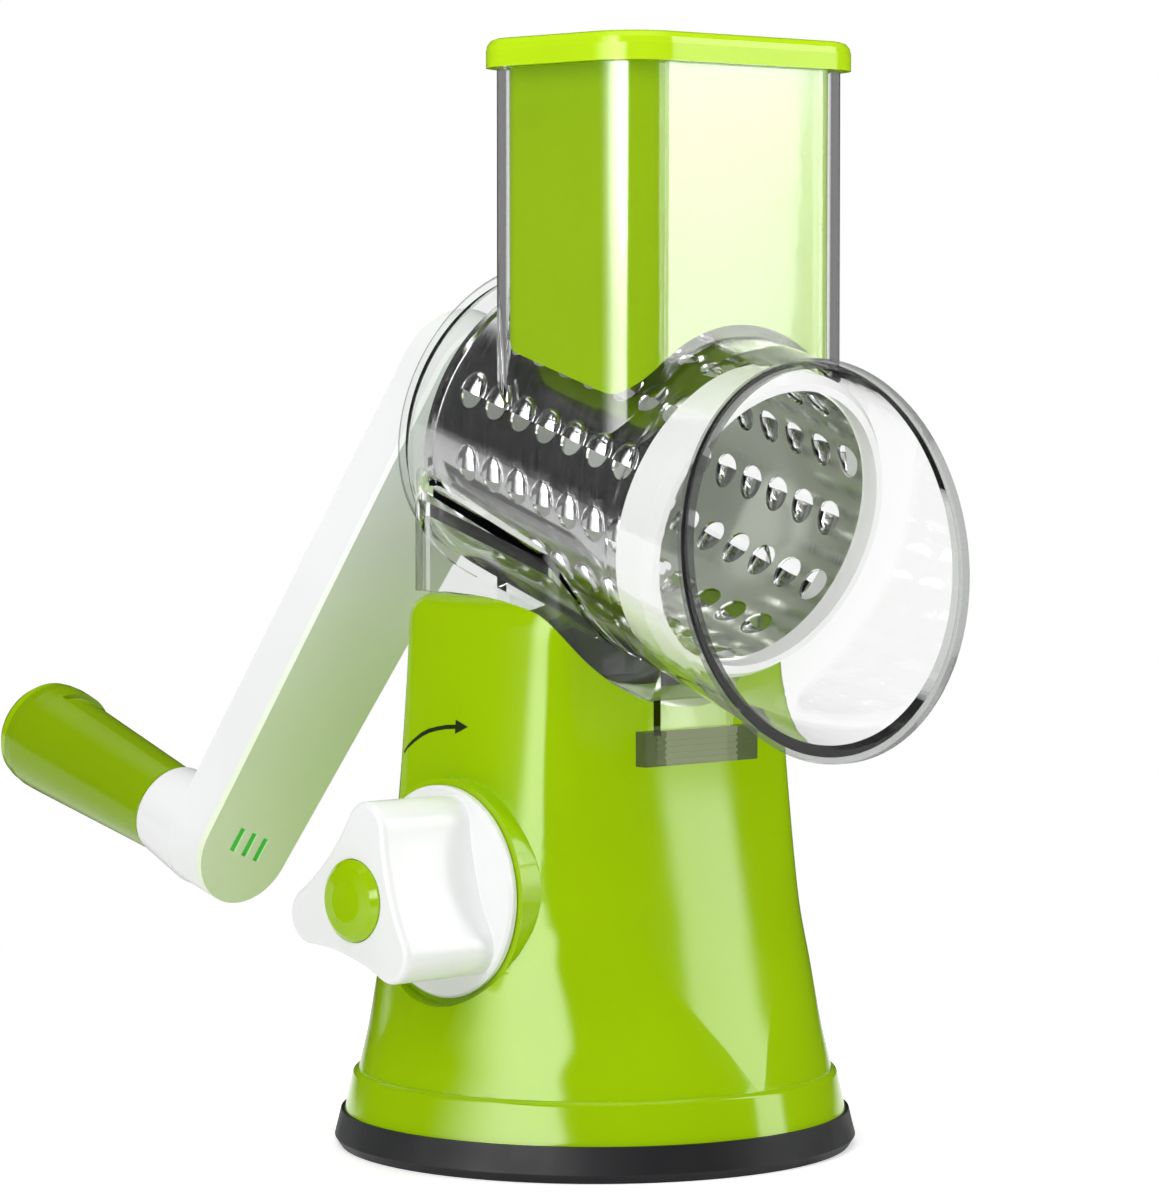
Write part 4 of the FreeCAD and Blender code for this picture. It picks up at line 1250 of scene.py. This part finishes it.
@dataclass
class Drum:
    """The perforated drum: a thin sheet with rows of holes, each under a small raised hood.

    Sizes are in millimetres and places along the drum's axis run to the rear. The reach
    stretches a hole under its hood, and the hood's three sizes are its half axes. Edges
    sharper than the crease, in degrees, stay sharp.
    """

    radius: float = 35.2
    sheet: float = 0.8
    front: float = -60.0
    rear: float = 21.0
    middle: float = -22.1
    pitch: float = 9.37
    rows: int = 13
    per_row: int = 8
    first_row: float = -73.0
    hole: float = 3.5
    reach: float = 1.5
    hood: Point = (5.7, 4.0, 1.75)
    hood_sheet: float = 0.4
    punch_depth: float = 6.0
    hood_low: float = -0.3
    hood_mouth: float = 0.2
    seam_row: int = 4
    levels: int = 27
    sides: int = 160
    punch_sides: int = 20
    hood_sides: int = 20
    hood_rings: int = 10
    crease: float = 40.0

    def spots(self) -> List[Matrix]:
        """Place the holes, in rows of eight and seven by turns but for two rows of seven at the seam.

        Returns:
            The place of every hole.
        """
        out = []
        for row in range(self.rows):
            count = self.per_row if (row % 2 == 0) == (row < self.seam_row) else self.per_row - 1
            turn = AXIS @ Matrix.Rotation(math.radians(self.first_row + 360.0 * row / self.rows), 4, "Y")
            for i in range(count):
                along = self.middle + (i - (count - 1) / 2.0) * self.pitch
                out.append(turn @ Matrix.Translation((0.0, along * MM, self.radius * MM)))
        return out

    def punch(self) -> bpy.types.Object:
        """Make one cutter: round on one side and drawn out under the hood on the other.

        Returns:
            The cutter, at the origin.
        """
        deselect()
        bpy.ops.mesh.primitive_cylinder_add(
            vertices=self.punch_sides,
            radius=self.hole * MM,
            depth=self.punch_depth * MM,
            location=(0, 0, 0),
        )
        tool = bpy.context.object
        edit(tool)
        bpy.ops.mesh.select_all(action="DESELECT")
        close()
        for vertex in tool.data.vertices:
            vertex.select = vertex.co.x > 1e-5
        bpy.ops.object.mode_set(mode="EDIT")
        bpy.ops.transform.resize(value=(self.reach, 1.0, 1.0), center_override=(0.0, 0.0, 0.0))
        close()
        return tool

    def cap(self) -> bpy.types.Object:
        """Make one hood, open toward its hole.

        Returns:
            The hood, at the origin.
        """
        deselect()
        bpy.ops.mesh.primitive_uv_sphere_add(
            segments=self.hood_sides, ring_count=self.hood_rings, radius=MM, location=(0, 0, 0)
        )
        hood = bpy.context.object
        hood.scale = self.hood
        settle(hood)
        edit(hood)
        bpy.ops.mesh.bisect(plane_co=(0, 0, self.hood_low * MM), plane_no=(0, 0, 1), clear_inner=True)
        bpy.ops.mesh.select_all(action="SELECT")
        bpy.ops.mesh.bisect(plane_co=(self.hood_mouth * MM, 0, 0), plane_no=(1, 0, 0), clear_inner=True)
        close()
        modify(hood, "SOLIDIFY", thickness=self.hood_sheet * MM, offset=-1.0)
        return hood

    def scattered(self, model: bpy.types.Object, name: str) -> bpy.types.Object:
        """Copy a piece to every spot, each copy with its own mesh, and join the copies.

        Args:
            model: the piece to copy, at the origin; it is used up.
            name: the joined piece's name.

        Returns:
            The joined piece.
        """
        copies = []
        for spot in self.spots():
            copy = model.copy()
            copy.data = model.data.copy()
            bpy.context.scene.collection.objects.link(copy)
            copies.append(settle(copy, spot))
        bpy.data.objects.remove(model, do_unlink=True)
        return joined(copies, name)

    def build(self, palette: "Palette") -> None:
        """Model the drum's sheet and dress it.

        Args:
            palette: the finishes.
        """
        length = self.rear - self.front
        outer = [(self.radius, self.front + length * k / self.levels) for k in range(self.levels + 1)]
        inner = [(self.radius - self.sheet, h) for _, h in outer[::-1]]
        sleeve = turned("drum_sheet", outer + inner + outer[:1], self.sides, True)
        settle(sleeve, AXIS @ LAY)
        combine(sleeve, self.scattered(self.punch(), "punches"), Combine.CUT)
        sleeve = joined([sleeve, self.scattered(self.cap(), "hoods")], "drum_sheet")
        soften(sleeve, 0.0, self.crease)
        stand_in(sleeve, "drum", "polished_steel", palette.drum, "drum_sleeve")


# ---------------------------------------------------------------- studio


@dataclass(frozen=True)
class Lamp:
    """A softbox: its place and aim in metres, its width and height in metres and its power in watts."""

    name: str
    place: Point
    aim: Point
    wide: float
    high: float
    power: float


@dataclass(frozen=True)
class Softboxes:
    """The two tall softboxes that polished parts reflect.

    They are placed by bearing, in degrees from the front, and by height, the sine of the
    elevation. A pair of numbers for a bearing is its value at the horizon and its change
    with height.
    """

    left_power: float = 12.0
    right_power: float = 7.0
    left_start: Tuple[float, float] = (-88.0, 8.0)
    start_heights: Tuple[float, float] = (0.1, 0.3)
    left_full: float = -40.0
    edge_below: Tuple[float, float] = (-22.0, 75.0)
    edge_above: Tuple[float, float] = (12.0, -96.0)
    edge_soft: Tuple[float, float] = (-3.0, 4.0)
    left_low: float = 0.6
    left_low_height: float = 0.05
    right_middle: Tuple[float, float] = (87.5, 10.7)
    right_half: Tuple[float, float] = (6.5, 10.5)
    right_low: float = 0.42
    right_low_height: float = 0.15
    top_heights: Tuple[float, float] = (0.72, 0.85)

    def bearing_at(self, sheet: NodeSheet, high: object, line: Tuple[float, float]) -> bpy.types.NodeSocket:
        """Tell an edge's bearing at a height, from its value at the horizon and its change."""
        return sheet.sums("ADD", line[0], sheet.product(high, line[1]))

    def dimmed(
        self, sheet: NodeSheet, high: object, low: float, full_height: float
    ) -> bpy.types.NodeSocket:
        """Dim a box from its full share at one height to a low one at the horizon."""
        return sheet.sums("ADD", low, sheet.product(sheet.step(high, 0.0, full_height), 1.0 - low))

    def left(self, sheet: NodeSheet, angle: bpy.types.NodeSocket, high: object) -> bpy.types.NodeSocket:
        """Work out the left box's brightness, which rises slowly and ends in a pointed edge.

        Args:
            sheet: the node tree to add to.
            angle: the bearing.
            high: the height.

        Returns:
            The brightness's socket.
        """
        lower = self.bearing_at(sheet, high, self.edge_below)
        edge = sheet.sums("MINIMUM", lower, self.bearing_at(sheet, high, self.edge_above))
        start, shift = self.left_start
        start = sheet.sums("ADD", start, sheet.product(sheet.step(high, *self.start_heights), shift))
        rise = sheet.step(angle, start, self.left_full)
        ends = [sheet.sums("ADD", edge, soft) for soft in self.edge_soft]
        fall = sheet.sums("SUBTRACT", 1.0, sheet.step(angle, *ends))
        dim = self.dimmed(sheet, high, self.left_low, self.left_low_height)
        return sheet.product(rise, fall, dim, self.left_power)

    def right(self, sheet: NodeSheet, angle: bpy.types.NodeSocket, high: object) -> bpy.types.NodeSocket:
        """Work out the right box's brightness, an even strip with soft sides.

        Args:
            sheet: the node tree to add to.
            angle: the bearing.
            high: the height.

        Returns:
            The brightness's socket.
        """
        middle = self.bearing_at(sheet, high, self.right_middle)
        off = sheet.sums("ABSOLUTE", sheet.sums("SUBTRACT", angle, middle))
        strip = sheet.sums("SUBTRACT", 1.0, sheet.step(off, *self.right_half))
        dim = self.dimmed(sheet, high, self.right_low, self.right_low_height)
        return sheet.product(strip, dim, self.right_power)

    def both(self, sheet: NodeSheet, angle: bpy.types.NodeSocket, height: object) -> bpy.types.NodeSocket:
        """Work out the brightness of the two boxes.

        Args:
            sheet: the node tree to add to.
            angle: the bearing.
            height: the height, which may be below the horizon.

        Returns:
            The brightness's socket.
        """
        high = sheet.sums("MAXIMUM", height, 0.0)
        light = sheet.sums("ADD", self.left(sheet, angle, high), self.right(sheet, angle, high))
        return sheet.product(light, sheet.sums("SUBTRACT", 1.0, sheet.step(height, *self.top_heights)))


@dataclass
class Studio:
    """Camera, lamps, floor and the white surroundings.

    The camera's angles and the bearings are in degrees, lengths in metres and the lens in
    millimetres. The edge light reaches clear walls, and the deep light is what is seen in a
    polished part by way of another.
    """

    eye: Point = (-0.79667, -0.85254, 0.19611)
    tilt: float = 87.01
    heading: float = -42.87
    lens: float = 140.91
    ambient: float = 0.4
    front: float = 226.9
    wall: float = 0.02
    ceiling: float = 0.9
    ceiling_heights: Tuple[float, float] = (0.8, 0.95)
    edge_light: float = 0.2
    edge_depth: float = 2.5
    deep_light: float = 0.7
    floor_size: float = 12.0
    floor_board: Tuple[float, float, float, float] = (0.93, 0.93, 0.93, 1.0)
    floor_glow: float = 0.42
    floor_fade: Tuple[float, float] = (0.16, 0.42)
    low_share: float = 0.9
    low_glow: float = 1.0
    low_rise: Tuple[float, float] = (-140.0, -130.0)
    low_fall: Tuple[float, float] = (-99.0, -95.0)
    boxes: Softboxes = Softboxes()
    lamps: Tuple[Lamp, ...] = (
        Lamp("key", (-1.1, -0.35, 0.7), (0.0, 0.0, 0.15), 0.45, 1.0, 7.0),
        Lamp("fill", (0.75, -0.95, 0.55), (0.0, 0.0, 0.15), 0.28, 1.1, 5.0),
        Lamp("top", (0.0, 0.1, 1.2), (0.0, 0.0, 0.1), 0.9, 0.9, 4.8),
    )

    def build_camera(self) -> None:
        """Place the camera."""
        data = bpy.data.cameras.new("view")
        data.lens = self.lens
        data.sensor_fit = "AUTO"
        data.sensor_width = 36.0
        data.clip_start = 0.01
        camera = bpy.data.objects.new("view", data)
        camera.location = self.eye
        camera.rotation_euler = (math.radians(self.tilt), 0.0, math.radians(self.heading))
        bpy.context.scene.collection.objects.link(camera)
        bpy.context.scene.camera = camera

    def build_lamps(self) -> None:
        """Hang the softboxes, each turned toward its aim."""
        for lamp in self.lamps:
            data = bpy.data.lights.new(lamp.name, "AREA")
            data.shape = "RECTANGLE"
            data.size = lamp.wide
            data.size_y = lamp.high
            data.energy = lamp.power
            box = bpy.data.objects.new(lamp.name, data)
            box.location = lamp.place
            way = Vector(lamp.aim) - Vector(lamp.place)
            box.visible_glossy = False
            box.rotation_euler = way.to_track_quat("-Z", "Y").to_euler()
            bpy.context.scene.collection.objects.link(box)

    def bearing(self, sheet: NodeSheet, way: bpy.types.NodeSocket) -> bpy.types.NodeSocket:
        """Measure the bearing of a direction, or of a place on the floor, from the studio's front.

        Args:
            sheet: the node tree to add to.
            way: the direction or the place.

        Returns:
            The bearing's socket, in degrees.
        """
        front = math.radians(self.front)
        ahead = sheet.along(way, (math.cos(front), math.sin(front), 0.0))
        aside = sheet.along(way, (-math.sin(front), math.cos(front), 0.0))
        return sheet.sums("DEGREES", sheet.sums("ARCTAN2", aside, ahead))

    def walls(self, sheet: NodeSheet, angle: bpy.types.NodeSocket, height: object) -> bpy.types.NodeSocket:
        """Work out the brightness of the dim walls with the boxes in front of them."""
        return sheet.sums("ADD", self.boxes.both(sheet, angle, height), self.wall)

    def behind(self, sheet: NodeSheet, angle: bpy.types.NodeSocket) -> bpy.types.NodeSocket:
        """Work out the glow of the floor behind the crank, which the drum's underside reflects."""
        glow = sheet.sums("SUBTRACT", sheet.step(angle, *self.low_rise), sheet.step(angle, *self.low_fall))
        return sheet.product(glow, self.low_glow)

    def sight(self, sheet: NodeSheet) -> Tuple[bpy.types.NodeSocket, bpy.types.NodeSocket]:
        """Tell what is seen, straight or through clear plastic, from what is reflected.

        Args:
            sheet: the node tree to add to.

        Returns:
            Sockets that are 1 where the point is seen and where it is reflected.
        """
        path = sheet.add("ShaderNodeLightPath").outputs
        bounced = sheet.sums("GREATER_THAN", path["Glossy Depth"], 0.5)
        either = sheet.sums("MAXIMUM", path["Is Camera Ray"], path["Is Transmission Ray"])
        plain = sheet.sums("MAXIMUM", sheet.sums("SUBTRACT", either, bounced), 0.0)
        glossy = sheet.sums("MAXIMUM", path["Is Glossy Ray"], path["Is Transmission Ray"])
        return plain, sheet.sums("MULTIPLY", bounced, glossy)

    def build_world(self) -> None:
        """White surroundings for the eye, grey light for the object, and what polished parts reflect."""
        sheet = NodeSheet("studio", True)

        def glow(strength: object) -> bpy.types.NodeSocket:
            """Make plain white light.

            Args:
                strength: its strength.

            Returns:
                The light's socket.
            """
            node = sheet.add("ShaderNodeBackground")
            sheet.put(strength, node.inputs["Strength"])
            node.inputs["Color"].default_value = WHITE
            return node.outputs[0]

        way = sheet.add("ShaderNodeTexCoord").outputs["Generated"]
        path = sheet.add("ShaderNodeLightPath").outputs
        height = sheet.along(way, (0.0, 0.0, 1.0))
        ceiling = sheet.product(sheet.step(height, *self.ceiling_heights), self.ceiling)
        again = sheet.sums("GREATER_THAN", path["Glossy Depth"], 1.5)
        ceiling = sheet.sums("MAXIMUM", ceiling, sheet.product(again, self.deep_light))
        room = sheet.sums("ADD", self.walls(sheet, self.bearing(sheet, way), height), ceiling)
        shallow = sheet.sums("LESS_THAN", path["Transmission Depth"], self.edge_depth)
        inner = sheet.product(path["Is Transmission Ray"], shallow, self.edge_light)
        seen, reflected = self.sight(sheet)
        unseen = sheet.mixed(reflected, glow(self.ambient), glow(sheet.sums("MAXIMUM", room, inner)))
        sheet.join(sheet.mixed(seen, unseen, glow(1.0)), sheet.output.inputs["Surface"])
        bpy.context.scene.world = sheet.material

    def build_floor(self) -> None:
        """A wide pale floor that keeps the shredder's shadow."""
        deselect()
        bpy.ops.mesh.primitive_plane_add(size=self.floor_size, location=(0.0, 0.0, 0.0))
        floor = bpy.context.object
        floor.name = "studio_floor"
        sheet = NodeSheet("studio_floor")
        place = sheet.place()

        def shine(strength: object) -> bpy.types.NodeSocket:
            """Make a surface that gives plain white light.

            Args:
                strength: its strength.

            Returns:
                The surface's socket.
            """
            node = sheet.add("ShaderNodeEmission")
            sheet.put(strength, node.inputs["Strength"])
            return node.outputs[0]

        board = sheet.add("ShaderNodeBsdfDiffuse")
        board.inputs["Color"].default_value = self.floor_board
        lit = sheet.add("ShaderNodeAddShader")
        sheet.join(board.outputs[0], lit.inputs[0])
        sheet.join(shine(self.floor_glow), lit.inputs[1])
        far = sheet.add("ShaderNodeVectorMath", operation="LENGTH")
        sheet.join(place, far.inputs[0])
        fade = sheet.add("ShaderNodeMapRange")
        fade.inputs["From Min"].default_value, fade.inputs["From Max"].default_value = self.floor_fade
        sheet.join(far.outputs["Value"], fade.inputs["Value"])
        share = fade.outputs["Result"]
        angle = self.bearing(sheet, place)
        low = sheet.product(self.walls(sheet, angle, 0.0), self.low_share)
        low = sheet.sums("ADD", low, self.behind(sheet, angle))
        reflected = sheet.mixed(share, lit.outputs[0], shine(low))
        seen, mirrored = self.sight(sheet)
        unseen = sheet.mixed(mirrored, board.outputs[0], reflected)
        white = sheet.mixed(share, lit.outputs[0], shine(1.0))
        sheet.join(sheet.mixed(seen, unseen, white), sheet.output.inputs["Surface"])
        dress(floor, sheet.material)

    def build(self) -> None:
        """Set up the whole studio."""
        self.build_camera()
        self.build_lamps()
        self.build_world()
        self.build_floor()


def main() -> None:
    """Build the studio and dress every piece in order."""
    logging.basicConfig(level=logging.INFO, format="%(name)s: %(message)s")
    deselect()
    Studio().build()
    palette = Palette()
    slots = {s["node"]: s["material_slot"] for s in frame["record"]["subparts"]}
    for node, piece in frame["nodes"].items():
        dress(piece, palette.by_slot()[slots[node]])
        LOG.info("dressed %s", node)
    dress(frame["nodes"]["release_tab"], palette.tab)
    dress(frame["nodes"]["grip"], palette.grip)
    dress(frame["nodes"]["drum_front_ring"], palette.ring)
    Column().build(palette)
    Spring().build(palette)
    TurnMark().build(palette)
    Drum().build(palette)
    scene = bpy.context.scene
    scene.view_settings.view_transform = "Standard"


if __name__ == "__main__":
    main()
